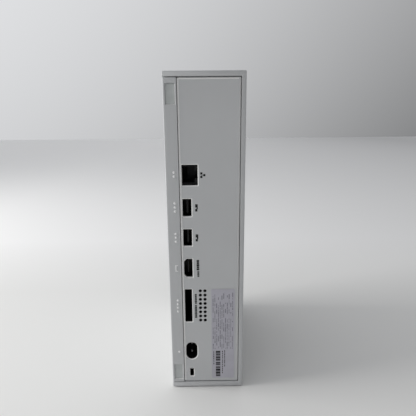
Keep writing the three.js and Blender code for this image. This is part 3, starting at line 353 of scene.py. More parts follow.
def add_bevel(piece, width, segments=2, angle=40):
    bevel = piece.modifiers.new("edge_rounding", "BEVEL")
    bevel.width = width
    bevel.segments = segments
    bevel.limit_method = "ANGLE"
    bevel.angle_limit = math.radians(angle)
    bevel.harden_normals = True
    bevel.miter_outer = "MITER_ARC"


def add_box(bm, x, y, z):
    """A closed box from its limits along each axis."""
    made = bmesh.ops.create_cube(bm, size=1)
    size = Matrix.Diagonal((x[1] - x[0], y[1] - y[0], z[1] - z[0], 1))
    middle = Vector(((x[0] + x[1]) / 2, (y[0] + y[1]) / 2, (z[0] + z[1]) / 2))
    bmesh.ops.transform(bm, matrix=Matrix.Translation(middle) @ size, verts=made["verts"])


def circle(centre, radius, sides):
    """A circle's points, going anticlockwise."""
    turns = [2 * math.pi * i / sides for i in range(sides)]
    return [(centre[0] + radius * math.cos(a), centre[1] + radius * math.sin(a)) for a in turns]


def rectangle(u, v, radius=0.0, steps=4):
    """A rectangle with round corners, as points going anticlockwise."""
    if not radius:
        return [(u[0], v[0]), (u[1], v[0]), (u[1], v[1]), (u[0], v[1])]
    corners = [
        (u[1] - radius, v[0] + radius, -90),
        (u[1] - radius, v[1] - radius, 0),
        (u[0] + radius, v[1] - radius, 90),
        (u[0] + radius, v[0] + radius, 180),
    ]
    points = []
    for cu, cv, first in corners:
        for step in range(steps + 1):
            angle = math.radians(first + 90 * step / steps)
            points.append((cu + radius * math.cos(angle), cv + radius * math.sin(angle)))
    return points


def to_space(axis, u, v, depth):
    """A point on a flat outline at a depth along the axis: (y, z) for X, (x, z) for Y, (x, y) for Z."""
    if axis == "X":
        return (depth, u, v)
    if axis == "Y":
        return (u, depth, v)
    return (u, v, depth)


def offset(loop, distance):
    """The loop's points moved outwards along their corners by a distance; the loop is convex."""
    area = sum(a[0] * b[1] - b[0] * a[1] for a, b in zip(loop, loop[1:] + loop[:1]))
    turn = 1 if area > 0 else -1
    moved = []
    for before, point, after in zip(loop[-1:] + loop[:-1], loop, loop[1:] + loop[:1]):
        normals = []
        for a, b in ((before, point), (point, after)):
            length = math.hypot(b[0] - a[0], b[1] - a[1])
            normals.append((turn * (b[1] - a[1]) / length, -turn * (b[0] - a[0]) / length))
        (ax, ay), (bx, by) = normals
        scale = distance / (1 + ax * bx + ay * by)
        moved.append((point[0] + (ax + bx) * scale, point[1] + (ay + by) * scale))
    return moved


# Options of the triangulation: keep the inside without the holes, and merge points this near.
INSIDE_WITH_HOLES = 2
MERGE_DISTANCE = 1e-7
PLAIN_HOLE_EASE = 0.05


def add_plate(bm, axis, outer, holes, near, far, chamfer=0.0, plain=0):
    """A closed plate of one outline with holes, from depth near to depth far.

    A chamfer softens the edges of the outline and of the holes at the near depth. The last few
    holes, as many as plain says, keep almost sharp edges.
    """
    loops = [outer, *holes]
    rounds = []
    first = 0
    for loop in loops:
        rounds.append(list(range(first, first + len(loop))))
        first += len(loop)
    edges = [pair for ring in rounds for pair in zip(ring, ring[1:] + ring[:1])]
    eased = loops
    if chamfer:
        last_eased = len(holes) - plain
        eased = [offset(outer, -chamfer), *(offset(hole, chamfer) for hole in holes[:last_eased])]
        eased += [offset(hole, PLAIN_HOLE_EASE * chamfer) for hole in holes[last_eased:]]
    inward = chamfer if far > near else -chamfer
    layers = [(eased, near, True), (loops, far, True)]
    if chamfer:
        layers.insert(1, (loops, near + inward, False))
    rings = []
    for shapes, depth, filled in layers:
        points = [Vector(p) for shape in shapes for p in shape]
        if not filled:
            rings.append([bm.verts.new(to_space(axis, p.x, p.y, depth)) for p in points])
            continue
        flat = delaunay_2d_cdt(points, [], rounds, INSIDE_WITH_HOLES, MERGE_DISTANCE)
        flat_points, faces, origins = flat[0], flat[2], flat[3]
        made = [bm.verts.new(to_space(axis, p[0], p[1], depth)) for p in flat_points]
        for face in faces:
            bm.faces.new([made[i] for i in face])
        place = {source: made[index] for index, sources in enumerate(origins) for source in sources}
        rings.append([place[index] for index in range(len(points))])
    for low, high in zip(rings, rings[1:]):
        for a, b in edges:
            bm.faces.new([low[a], low[b], high[b], high[a]])


def add_turned(bm, profile, centre, axis, sides):
    """A turned solid: (radius, height) points from axis to axis, swept round the axis at centre."""
    rings = []
    for radius, height in profile:
        if radius == 0:
            rings.append([bm.verts.new(to_space(axis, centre[0], centre[1], height))])
        else:
            rings.append([
                bm.verts.new(to_space(axis, u, v, height)) for u, v in circle(centre, radius, sides)
            ])
    for low, high in zip(rings, rings[1:]):
        for i in range(sides):
            j = (i + 1) % sides
            corners = [low[i % len(low)], low[j % len(low)], high[j % len(high)], high[i % len(high)]]
            bm.faces.new(list(dict.fromkeys(corners)))


def quarter_round(radius, height, start, steps):
    """A profile from (radius, start) to the axis at start + height, along a quarter ellipse."""
    profile = []
    for step in range(steps + 1):
        angle = math.pi / 2 * step / steps
        distance = radius * math.cos(angle) if step < steps else 0
        profile.append((distance, start + height * math.sin(angle)))
    return profile


def limits(node):
    """A node's lowest and highest coordinate along X, Y and Z, in metres."""
    low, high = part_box(node)
    return (low.x, high.x), (low.y, high.y), (low.z, high.z)


def middle(span):
    return (span[0] + span[1]) / 2


def around(centre, size):
    """A span of a size about its centre."""
    return (centre - size / 2, centre + size / 2)


def grown(span, by):
    """A span made longer at both its ends."""
    return (span[0] - by, span[1] + by)


def row_places(centre, count, pitch):
    """Places of a row of pieces, evenly spread about its centre."""
    return [centre + (index - (count - 1) / 2) * pitch for index in range(count)]


# ---- Carried-over CAD nodes --------------------------------------------------------------


JOIN_DISTANCE = 0.002 * MM
SHARP_ANGLE = 32


def dress_node(name, bevel=0.0):
    """Gives a CAD node its surface, joins its facets, and rounds its edges if a bevel is given."""
    node = nodes[name]
    slot = next(s["material_slot"] for s in frame["record"]["subparts"] if s["node"] == name)
    node.data.materials.clear()
    node.data.materials.append(surfaces[slot])
    if "custom_normal" in node.data.attributes:
        node.data.attributes.remove(node.data.attributes["custom_normal"])
    for polygon in node.data.polygons:
        polygon.use_smooth = True
    weld = node.modifiers.new("join_facets", "WELD")
    weld.merge_threshold = JOIN_DISTANCE
    if bevel:
        add_bevel(node, bevel)
    split = node.modifiers.new("keep_edges", "EDGE_SPLIT")
    split.split_angle = math.radians(SHARP_ANGLE)


make_camera()
NODE_BEVELS = {
    "power_button": 0.25 * MM,
    "pair_button": 0.2 * MM,
    "processor": 0.3 * MM,
    "supply_link": 0.4 * MM,
    "transformer": 0.8 * MM,
}
for node_name in nodes:
    dress_node(node_name, NODE_BEVELS.get(node_name, 0))


# ---- Fan grille --------------------------------------------------------------------------

GRILLE_RING_PITCH = 4.3 * MM
GRILLE_HOLE = 1.45 * MM
GRILLE_HOLE_SIDES = 10
GRILLE_THICKNESS = 1.5 * MM
FLANGE_REACH = 2.5 * MM
FLANGE_WIDTH = 2 * MM
FLANGE_THICKNESS = 1.2 * MM


def make_grille():
    """A black disc with rings of round holes, and the flange that holds it behind the wall."""
    x, y, z = limits("fan_grille")
    centre = (middle(y), middle(z))
    flange_radius = (y[1] - y[0]) / 2
    disc_radius = flange_radius - FLANGE_REACH
    rings = int((disc_radius - GRILLE_HOLE * 2) / GRILLE_RING_PITCH)
    holes = [circle(centre, GRILLE_HOLE, GRILLE_HOLE_SIDES)]
    for ring in range(1, rings + 1):
        for u, v in circle(centre, ring * GRILLE_RING_PITCH, 6 * ring):
            holes.append(circle((u, v), GRILLE_HOLE, GRILLE_HOLE_SIDES))
    bm = bmesh.new()
    add_plate(bm, "X", circle(centre, disc_radius, 128), holes, x[0], x[0] + GRILLE_THICKNESS)
    add_piece("grille_disc", bm, surfaces["black_grille"], replaces=["fan_grille"])
    bm = bmesh.new()
    inner = circle(centre, disc_radius - FLANGE_WIDTH, 96)
    wall_inner = circle(centre, disc_radius, 96)
    disc_back = x[0] + GRILLE_THICKNESS
    flange_front = x[1] - FLANGE_THICKNESS
    add_plate(bm, "X", wall_inner, [inner], disc_back, flange_front)
    add_plate(bm, "X", circle(centre, flange_radius, 96), [inner], flange_front, x[1])
    add_piece("grille_flange", bm, surfaces["black_grille"], replaces=["fan_grille"])


make_grille()


# ---- Sockets -----------------------------------------------------------------------------


SOCKET_WALL = 0.6 * MM
SOCKET_REAR_WALL = 2 * MM
REAR_WALL_INSET = 0.1 * MM
METAL_SHELL_WALL = 0.5 * MM
USB_SHELL_CORNER = 0.6 * MM
USB_MOUTH_CORNER = 0.4 * MM
USB_TONGUE_THICKNESS = 1.8 * MM
USB_TONGUE_DEPTH = 3 * MM
USB_TONGUE_MARGIN = 1.2 * MM
USB_CONTACTS = 4
USB_PITCH = 2.5 * MM
USB_CONTACT_THICKNESS = 0.16 * MM
USB_CONTACT_WIDTH = 1.1 * MM
USB_CONTACT_DEPTH = 4.5 * MM
USB_CONTACT_SHIFT = 0.95 * MM
VIDEO_CHAMFER = 2.3 * MM
VIDEO_TONGUE_SHIFT = 0.1 * MM
VIDEO_TONGUE_THICKNESS = 1.1 * MM
VIDEO_TONGUE_WIDTH = 11.4 * MM
VIDEO_TONGUE_DEPTH = 2.6 * MM
VIDEO_CONTACTS = 19
VIDEO_PITCH = 0.5 * MM
VIDEO_CONTACT_THICKNESS = 0.1 * MM
VIDEO_CONTACT_WIDTH = 0.26 * MM
VIDEO_CONTACT_DEPTH = 0.6 * MM
VIDEO_CONTACT_SHIFT = 0.6 * MM
NETWORK_MOUTH_DEPTH = 2.2 * MM
NETWORK_BAY_FROM_LATCH = 2.6 * MM
NETWORK_BAY_FROM_WIRES = 0.4 * MM
NETWORK_BAY_MARGIN = 1.6 * MM
NETWORK_LATCH_FROM_EDGE = 0.6 * MM
NETWORK_LATCH_WIDTH = 6.4 * MM
NETWORK_WIRES = 8
NETWORK_PITCH = 1.02 * MM
NETWORK_WIRE_RADIUS = 0.22 * MM
# Where each wire starts and ends: in from the bay's side, and in from the bay's face or rear wall.
NETWORK_WIRE_START = (0.3 * MM, 1 * MM)
NETWORK_WIRE_END = (3 * MM, 1 * MM)
EXPANSION_BAR_THICKNESS = 1.2 * MM
EXPANSION_BAR_DEPTH = 5 * MM
EXPANSION_BAR_WIDTH = 24 * MM
EXPANSION_CONTACTS = 24
EXPANSION_PITCH = 0.95 * MM
EXPANSION_CONTACT_THICKNESS = 1.4 * MM
EXPANSION_CONTACT_DEPTH = 4 * MM
EXPANSION_CONTACT_WIDTH = 0.4 * MM
SLOT_CORNER = 0.5 * MM
INLET_BLOCK_CORNER = 1 * MM
INLET_CORNER_GAP = 0.02 * MM
PIN_RADIUS = 1.2 * MM
PIN_HOLE_RADIUS = 1.4 * MM
PIN_TIP_STEPS = 5


def mouth_box(node):
    """A socket's CAD block: its limits inside the walls along X and Z, and its own along Y."""
    x, y, z = limits(node)
    return grown(x, -SOCKET_WALL), y, grown(z, -SOCKET_WALL)


def make_usb(node, front=False):
    """A USB-A receptacle: a folded metal shell, a black tongue, four contacts and a rear wall."""
    x, y, z = mouth_box(node)
    mouth, back = (y[0], y[1]) if front else (y[1], y[0])
    inward = 1 if front else -1
    bm = bmesh.new()
    outer = rectangle(grown(x, METAL_SHELL_WALL), grown(z, METAL_SHELL_WALL), USB_SHELL_CORNER)
    add_plate(bm, "Y", outer, [rectangle(x, z, USB_MOUTH_CORNER)], mouth, back)
    add_piece(f"{node}_shell", bm, painted_shade_socket_metal, replaces=[node])
    bm = bmesh.new()
    wall_end = back - inward * SOCKET_REAR_WALL
    add_box(bm, x, sorted((back - inward * REAR_WALL_INSET, wall_end)), z)
    add_piece(f"{node}_back", bm, surfaces["socket_black"], replaces=[node])
    bm = bmesh.new()
    off_centre = 0.52 if front else 0.48
    centre = x[0] + (x[1] - x[0]) * off_centre
    tip = mouth + inward * USB_TONGUE_DEPTH
    across = around(centre, USB_TONGUE_THICKNESS)
    add_box(bm, across, sorted((tip, wall_end)), grown(z, -USB_TONGUE_MARGIN))
    add_piece(f"{node}_tongue", bm, surfaces["socket_black"], bevel=0.25 * MM)
    bm = bmesh.new()
    across = around(centre + inward * USB_CONTACT_SHIFT, USB_CONTACT_THICKNESS)
    reach = sorted((tip + inward * USB_CONTACT_DEPTH, wall_end))
    for place in row_places(middle(z), USB_CONTACTS, USB_PITCH):
        add_box(bm, across, reach, around(place, USB_CONTACT_WIDTH))
    add_piece(f"{node}_contacts", bm, contact_gold, bevel=0.05 * MM)


def hdmi_outline(x, z, grow):
    """The keyed outline of a video socket: its two corners on the +X side are cut off."""
    x = grown(x, grow)
    z = grown(z, grow)
    return [
        (x[0], z[0]),
        (x[1] - VIDEO_CHAMFER, z[0]),
        (x[1], z[0] + VIDEO_CHAMFER),
        (x[1], z[1] - VIDEO_CHAMFER),
        (x[1] - VIDEO_CHAMFER, z[1]),
        (x[0], z[1]),
    ]


def make_hdmi():
    """A video receptacle: a keyed metal shell, a thin tongue and its row of fine contacts."""
    node = "hdmi_port"
    x, y, z = mouth_box(node)
    bm = bmesh.new()
    add_plate(bm, "Y", hdmi_outline(x, z, METAL_SHELL_WALL), [hdmi_outline(x, z, 0)], y[1], y[0])
    add_piece(f"{node}_shell", bm, painted_shade_socket_metal, replaces=[node])
    bm = bmesh.new()
    wall_end = y[0] + SOCKET_REAR_WALL
    add_plate(bm, "Y", hdmi_outline(x, z, 0), [], y[0] + REAR_WALL_INSET, wall_end)
    add_piece(f"{node}_back", bm, surfaces["socket_black"], replaces=[node])
    bm = bmesh.new()
    centre = middle(x) + VIDEO_TONGUE_SHIFT
    tip = y[1] - VIDEO_TONGUE_DEPTH
    across = around(centre, VIDEO_TONGUE_THICKNESS)
    add_box(bm, across, (wall_end, tip), around(middle(z), VIDEO_TONGUE_WIDTH))
    add_piece(f"{node}_tongue", bm, surfaces["socket_black"], bevel=0.2 * MM)
    bm = bmesh.new()
    reach = (wall_end, tip - VIDEO_CONTACT_DEPTH)
    for index, place in enumerate(row_places(middle(z), VIDEO_CONTACTS, VIDEO_PITCH)):
        side = 1 if index % 2 else -1
        across = around(centre + side * VIDEO_CONTACT_SHIFT, VIDEO_CONTACT_THICKNESS)
        add_box(bm, across, reach, around(place, VIDEO_CONTACT_WIDTH))
    add_piece(f"{node}_contacts", bm, contact_gold)


def make_ethernet():
    """A network jack: moulded block with a latch channel, eight sprung wires and side walls."""
    node = "ethernet_jack"
    x, y, z = mouth_box(node)
    outer = rectangle(grown(x, SOCKET_WALL), grown(z, SOCKET_WALL))
    bay_x = (x[0] + NETWORK_BAY_FROM_LATCH, x[1] - NETWORK_BAY_FROM_WIRES)
    bay_z = grown(z, -NETWORK_BAY_MARGIN)
    latch_x = x[0] + NETWORK_LATCH_FROM_EDGE
    latch_z = around(middle(z), NETWORK_LATCH_WIDTH)
    bay = [
        (bay_x[1], bay_z[0]),
        (bay_x[1], bay_z[1]),
        (bay_x[0], bay_z[1]),
        (bay_x[0], latch_z[1]),
        (latch_x, latch_z[1]),
        (latch_x, latch_z[0]),
        (bay_x[0], latch_z[0]),
        (bay_x[0], bay_z[0]),
    ]
    face = y[1] - NETWORK_MOUTH_DEPTH
    wall_end = y[0] + SOCKET_REAR_WALL
    bm = bmesh.new()
    add_plate(bm, "Y", outer, [rectangle(x, z)], y[1], face)
    add_plate(bm, "Y", outer, [bay], face, wall_end)
    add_plate(bm, "Y", outer, [], wall_end, y[0])
    add_piece(f"{node}_body", bm, surfaces["socket_black"], replaces=[node])
    bm = bmesh.new()
    for place in row_places(middle(z), NETWORK_WIRES, NETWORK_PITCH):
        start = Vector((bay_x[1] - NETWORK_WIRE_START[0], face - NETWORK_WIRE_START[1], place))
        end = Vector((bay_x[1] - NETWORK_WIRE_END[0], wall_end + NETWORK_WIRE_END[1], place))
        add_wire(bm, start, end, NETWORK_WIRE_RADIUS)
    add_piece(f"{node}_wires", bm, contact_gold)


def add_wire(bm, start, end, radius, sides=6):
    """A straight round wire between two points."""
    direction = (end - start).normalized()
    across = direction.orthogonal().normalized()
    other = direction.cross(across)
    rings = []
    for point in (start, end):
        rings.append([
            bm.verts.new(point + radius * (across * math.cos(a) + other * math.sin(a)))
            for a in (2 * math.pi * i / sides for i in range(sides))
        ])
    for i in range(sides):
        j = (i + 1) % sides
        bm.faces.new([rings[0][i], rings[0][j], rings[1][j], rings[1][i]])
    bm.faces.new(rings[0])
    bm.faces.new(rings[1])


def make_expansion():
    """A card slot: a black guide, with a bar and its row of contacts at the far end."""
    node = "expansion_slot"
    x, y, z = mouth_box(node)
    wall_end = y[0] + SOCKET_REAR_WALL
    outer = rectangle(grown(x, SOCKET_WALL), grown(z, SOCKET_WALL))
    bm = bmesh.new()
    add_plate(bm, "Y", outer, [rectangle(x, z, SLOT_CORNER)], y[1], wall_end)
    add_plate(bm, "Y", outer, [], wall_end, y[0])
    add_piece(f"{node}_guide", bm, surfaces["socket_black"], replaces=[node])
    bm = bmesh.new()
    centre = middle(x)
    across = around(centre, EXPANSION_BAR_THICKNESS)
    reach = (wall_end, wall_end + EXPANSION_BAR_DEPTH)
    add_box(bm, across, reach, around(middle(z), EXPANSION_BAR_WIDTH))
    add_piece(f"{node}_bar", bm, surfaces["socket_black"], bevel=0.2 * MM)
    bm = bmesh.new()
    across = around(centre, EXPANSION_CONTACT_THICKNESS)
    reach = (wall_end, wall_end + EXPANSION_CONTACT_DEPTH)
    for place in row_places(middle(z), EXPANSION_CONTACTS, EXPANSION_PITCH):
        add_box(bm, across, reach, around(place, EXPANSION_CONTACT_WIDTH))
    add_piece(f"{node}_contacts", bm, contact_gold)


def inlet_hollow(x, z):
    """The round-ended outline of the mains inlet's hollow."""
    return rectangle(x, z, (x[1] - x[0]) / 2 - INLET_CORNER_GAP, 12)


def make_inlet():
    """The two-pin mains inlet: a round-ended hollow in a black block, and its two pins."""
    node = "power_inlet"
    x, y, z = mouth_box(node)
    outer = rectangle(grown(x, SOCKET_WALL), grown(z, SOCKET_WALL), INLET_BLOCK_CORNER)
    floor = y[0] + SOCKET_REAR_WALL
    pin_x = middle(limits("inlet_pin_1")[0])
    pin_places = [(pin_x, middle(limits(f"inlet_pin_{i}")[2])) for i in (1, 2)]
    pin_holes = [circle(place, PIN_HOLE_RADIUS, 16) for place in pin_places]
    bm = bmesh.new()
    add_plate(bm, "Y", outer, [inlet_hollow(x, z)], y[1], floor)
    add_plate(bm, "Y", outer, pin_holes, floor, y[0])
    add_piece(f"{node}_body", bm, surfaces["socket_black"], replaces=[node])
    for index, place in enumerate(pin_places, 1):
        low, high = limits(f"inlet_pin_{index}")[1]
        profile = [(0, low), (PIN_RADIUS, low), (PIN_RADIUS, high - PIN_RADIUS)]
        profile += quarter_round(PIN_RADIUS, PIN_RADIUS, high - PIN_RADIUS, PIN_TIP_STEPS)[1:]
        bm = bmesh.new()
        add_turned(bm, profile, place, "Y", 20)
        add_piece(f"mains_pin_{index}", bm, pin_nickel, replaces=[f"inlet_pin_{index}"])


make_usb("usb_port_upper")
make_usb("usb_port_lower")
make_usb("front_usb_port", front=True)
make_hdmi()
make_ethernet()
make_expansion()
make_inlet()


# ---- Rear panel --------------------------------------------------------------------------

PANEL_INSET = {"fan_side": 4.2 * MM, "top": 4.7 * MM, "bottom": 5.2 * MM}
PANEL_THICKNESS = 2.3 * MM
PANEL_EDGE = 3 * MM
PANEL_THIN_EDGE = 0.5 * MM
PANEL_LIP = 1.4 * MM
PANEL_CHAMFER = 0.7 * MM
PANEL_CORNER = 0.9 * MM
PANEL_STRIP_GAIN = 0.4 * MM
HOLE_CORNER = 0.3 * MM
LOCK_MARGIN = (2 * MM, 1 * MM)
LAND_WIDTH = 0.7 * MM
LAND_GAP = 0.02 * MM
LAND_END = 1.5 * MM
LAND_MEETING_GAP = 1 * MM
LINING_WALL = 0.25 * MM
LINING_GAP = 0.02 * MM
VENT_LINING_DROP = 0.3 * MM
VENT_X = (4.6 * MM, 0.6 * MM)
VENT_LOW = 68.3 * MM
VENT_PITCH = 4 * MM
VENT_ROWS = 8
VENT_RADIUS = 1.4 * MM
# A black sheet behind the vents paints their shade; its margin, corner and depths behind the panel.
SHADE_SHEET_MARGIN = 2.2 * MM
SHADE_SHEET_CORNER = 1 * MM
SHADE_SHEET_NEAR = 0.1 * MM
SHADE_SHEET_FAR = 1.2 * MM


def bare_holes():
    """The openings whose sides are the panel's own: network, two USB and video."""
    holes = []
    for node in ("ethernet_jack", "usb_port_upper", "usb_port_lower"):
        x, _, z = mouth_box(node)
        holes.append(rectangle(x, z, HOLE_CORNER, 2))
    x, _, z = mouth_box("hdmi_port")
    holes.append(hdmi_outline(x, z, 0))
    return holes


def lined_holes():
    """The openings that black linings darken: card slot, mains inlet and lock slot."""
    x, _, z = mouth_box("expansion_slot")
    holes = [rectangle(x, z, SLOT_CORNER, 2)]
    x, _, z = mouth_box("power_inlet")
    holes.append(inlet_hollow(x, z))
    x, _, z = limits("lock_plate")
    holes.append(rectangle(grown(x, -LOCK_MARGIN[0]), grown(z, -LOCK_MARGIN[1]), HOLE_CORNER, 2))
    return holes


def vent_holes():
    """The vents: two columns of round holes."""
    heights = [VENT_LOW + row * VENT_PITCH for row in range(VENT_ROWS)]
    return [circle((x, z), VENT_RADIUS, 20) for x in VENT_X for z in heights]


def add_shade_linings(bm, holes, front, back):
    """Black linings in openings, up towards the panel's face: painted shade on their sides, in part the
    black plastic of the sockets behind.
    """
    for hole in holes:
        add_plate(bm, "Y", offset(hole, -LINING_GAP), [offset(hole, -LINING_WALL)], front, back)


def make_panel():
    """The panel: a plate with eased edges round its openings, an edge wall and a hidden lip."""
    shell_x, _, shell_z = limits("outer_shell")
    lip_x, lip_y, lip_z = limits("rear_panel")
    x = (shell_x[0] + PANEL_INSET["fan_side"], lip_x[1] + PANEL_STRIP_GAIN)
    z = (shell_z[0] + PANEL_INSET["bottom"], shell_z[1] - PANEL_INSET["top"])
    face = lip_y[1]
    back = face - PANEL_THICKNESS
    lip_front = lip_y[0] + PANEL_LIP
    lined = lined_holes()
    vents = vent_holes()
    holes = [*bare_holes(), *lined, *vents]
    hollow = rectangle((x[0] + PANEL_EDGE, x[1] - PANEL_THIN_EDGE), grown(z, -PANEL_EDGE))
    outline = rectangle(x, z, PANEL_CORNER, 3)
    bm = bmesh.new()
    add_plate(bm, "Y", outline, holes, face, back, PANEL_CHAMFER, len(vents))
    add_plate(bm, "Y", rectangle(x, z), [hollow], back, lip_front)
    add_plate(bm, "Y", rectangle(lip_x, lip_z), [hollow], lip_front, lip_y[0])
    plate = surfaces["white_panel"]
    # The chamfers round the panel and its openings take the pale plastic: painted highlight on the eased
    # edges.
    add_piece("panel_plate", bm, plate, replaces=["rear_panel"], eased=painted_highlight_white)
    make_highlight_lands(x, z, face)
    # Black linings in the openings and vents, and a black sheet behind the vents: painted shade inside
    # them.
    bm = bmesh.new()
    add_shade_linings(bm, lined, face - PANEL_CHAMFER, back)
    add_shade_linings(bm, vents, face - VENT_LINING_DROP, back)
    add_piece("opening_shade_linings", bm, surfaces["socket_black"])
    make_vent_shade_sheet(back)


def make_highlight_lands(x, z, face):
    """Narrow pale strips on the panel's face, along its top edge and its +X edge: painted highlight on
    these edges.
    """
    rise = (face - LAND_WIDTH, face + LAND_GAP)
    side = x[1] - PANEL_CHAMFER
    top = z[1] - PANEL_CHAMFER
    bm = bmesh.new()
    add_box(bm, (side - LAND_WIDTH, side - LAND_GAP), rise, (z[0] + LAND_END, top - LAND_GAP))
    add_box(bm, (x[0] + LAND_END, side - LAND_MEETING_GAP), rise, (top - LAND_WIDTH, top - LAND_GAP))
    add_piece("panel_edge_highlight_lands", bm, painted_highlight_white)


def make_vent_shade_sheet(back):
    """A black sheet behind the vents: painted shade that keeps them dark inside."""
    vent_high = VENT_LOW + (VENT_ROWS - 1) * VENT_PITCH
    shade_sheet = rectangle(
        grown((min(VENT_X), max(VENT_X)), SHADE_SHEET_MARGIN),
        grown((VENT_LOW, vent_high), SHADE_SHEET_MARGIN),
        SHADE_SHEET_CORNER,
    )
    bm = bmesh.new()
    add_plate(bm, "Y", shade_sheet, [], back - SHADE_SHEET_NEAR, back - SHADE_SHEET_FAR)
    add_piece("vent_painted_shade_sheet", bm, surfaces["socket_black"], bevel=0.1 * MM)


# ---- Marks on the rear face --------------------------------------------------------------

PANEL_FACE = limits("rear_panel")[1][1]
STRIP_FACE = limits("side_cover")[1][1]
FEET_SIDE = limits("side_cover")[0][1]
MARK_DEPTH = 0.03 * MM
MARK_SINK = 0.1 * MM


def from_strip(distance):
    """X at a distance in millimetres from the side with the feet."""
    return FEET_SIDE - distance * MM


def port_z(node):
    """The height of a socket's middle."""
    return middle(limits(node)[2])


def add_mark(bm, x, z):
    add_box(bm, sorted(x), (PANEL_FACE - MARK_DEPTH, PANEL_FACE + MARK_DEPTH), sorted(z))


# Each stroke of a word takes a share of its width between these.
STROKE_SHARES = (0.8, 1.05)
# The network sign's squares, in millimetres: distance from the side with the feet, and lift.
NETWORK_SQUARES = ((28.6, 1.4), (28.6, -1.4), (31.0, 0.0))
NETWORK_SQUARE = 1.75 * MM
NETWORK_LINE = 0.35 * MM
USB_SIGN_COLUMN = 24.3
# Parts of the USB sign, in millimetres: shift and width along X, then shift and height along Z.
USB_SIGN = ((0, 2.1, 1.6, 2.7), (-0.5, 1.1, 0, 2.4), (0.2, 1.8, -2.1, 2.1))
# Printed words, each as add_word takes it.
VIDEO_WORD = ("hdmi_port", 24.7, 2.4, 7.4, 5, 1.7, 0.2)
CAPTIONS = (
    ("hdmi_port", 24.9, 1.9, -2.8, 4, 1.1, 0.25),
    ("expansion_slot", 22.4, 1.9, 11.2, 6, 1.35, 0.22),
    ("expansion_slot", 22.4, 1.9, 0.8, 8, 1.35, 0.22),
)


def add_word(bm, node, distance, width, lift, strokes, stroke, gap):
    """A column of short strokes that stands for a printed word without spelling anything.

    Sizes are in millimetres: distance from the side with the feet, and lift of the column's top
    over the socket's middle.
    """
    top = port_z(node) + lift * MM
    for index in range(strokes):
        high = top - index * (stroke + gap) * MM
        across = around(from_strip(distance), width * draw.uniform(*STROKE_SHARES) * MM)
        add_mark(bm, across, (high - stroke * MM, high))


def make_marks():
    """Small printed pictograms beside the sockets, all plain shapes."""
    bm = bmesh.new()
    network = port_z("ethernet_jack")
    for distance, lift in NETWORK_SQUARES:
        across = around(from_strip(distance), NETWORK_SQUARE)
        add_mark(bm, across, around(network + lift * MM, NETWORK_SQUARE))
    line = (from_strip(NETWORK_SQUARES[0][0]), from_strip(NETWORK_SQUARES[-1][0]))
    add_mark(bm, line, around(network, NETWORK_LINE))
    for node in ("usb_port_upper", "usb_port_lower"):
        centre = port_z(node)
        column = from_strip(USB_SIGN_COLUMN)
        for shift, width, lift, height in USB_SIGN:
            across = around(column + shift * MM, width * MM)
            add_mark(bm, across, around(centre + lift * MM, height * MM))
    add_word(bm, *VIDEO_WORD)
    add_piece("socket_marks", bm, print_ink)
    bm = bmesh.new()
    for caption in CAPTIONS:
        add_word(bm, *caption)
    add_piece("socket_captions", bm, soft_ink)


def add_dome(bm, x, z, radius, height):
    """A dome on the strip's face, sunk a little into it."""
    profile = [(0, STRIP_FACE - MARK_SINK), (radius, STRIP_FACE - MARK_SINK)]
    add_turned(bm, profile + quarter_round(radius, height, STRIP_FACE, 5), (x, z), "Y", 16)


# Heights of the raised dots over the surface stood on, in millimetres.
TOUCH_DOTS = (199.0, 195.7, 174.0, 170.6, 167.1, 148.0, 144.8, 141.3, 87.7, 84.2, 80.8, 77.2, 37.2)
TOUCH_DOT_RADIUS = 1.05 * MM
TOUCH_DOT_HEIGHT = 0.55 * MM
TOUCH_DOT_COLUMN = 6.9
BRACKET_HEIGHT = 0.35 * MM
BRACKET_STROKE = 0.7 * MM
BRACKET_Z = (114.6 * MM, 120.4 * MM)
BRACKET_STEM = (5.7, 6.6)
BRACKET_ARM = (6.4, 7.9)


def make_touch_marks():
    """Raised dots on the strip beside the sockets, told apart by touch, and one raised bracket."""
    bm = bmesh.new()
    for height in TOUCH_DOTS:
        add_dome(bm, from_strip(TOUCH_DOT_COLUMN), height * MM, TOUCH_DOT_RADIUS, TOUCH_DOT_HEIGHT)
    proud = (STRIP_FACE - MARK_SINK, STRIP_FACE + BRACKET_HEIGHT)
    add_box(bm, sorted(map(from_strip, BRACKET_STEM)), proud, BRACKET_Z)
    for end in BRACKET_Z:
        inner = end + (BRACKET_STROKE if end == BRACKET_Z[0] else -BRACKET_STROKE)
        add_box(bm, sorted(map(from_strip, BRACKET_ARM)), proud, sorted((end, inner)))
    add_piece("touch_marks", bm, dot_white, bevel=0.1 * MM)


make_panel()
make_marks()
make_touch_marks()


# ---- Rating label and seals --------------------------------------------------------------

LABEL_CORNER = 1 * MM
LABEL_SUNK = 0.04 * MM
# How far behind the label's CAD face the print starts and ends.
PRINT_SPAN = (0.06 * MM, 0.01 * MM)
# The print, in millimetres: rows are counted from the label's +X edge and run down to ROWS_FROM.
LABEL_ROWS = 12
FIRST_ROW = 1.4
ROW_PITCH = 1.55
ROWS_FROM = 30
ROW_TOP_LEAST = 3
ROW_TOP_SPREAD = 12
DASH_LENGTHS = (0.6, 5.5)
DASH_WIDTHS = (0.3, 0.7)
DASH_GAPS = (0.4, 0.6, 1.2, 5.0)
BARS_ACROSS = (7.7, 3.6)
BARS_ALONG = (1.6, 28)
BAR_WIDTHS = (0.7, 1.1, 1.5, 2.1)
BAR_GAPS = (0.25, 0.35, 0.5, 1.0)
# Columns of small dark strokes: distance from the +X edge, then start and end along the label.
COLUMNS = ((1.8, 14.5, 28.0), (9.6, 5.0, 28.0), (11.6, 12.0, 28.5))
COLUMN_WIDTH = 0.7 * MM
COLUMN_STROKES = (0.7, 1.8)
COLUMN_GAPS = (0.35, 0.8)


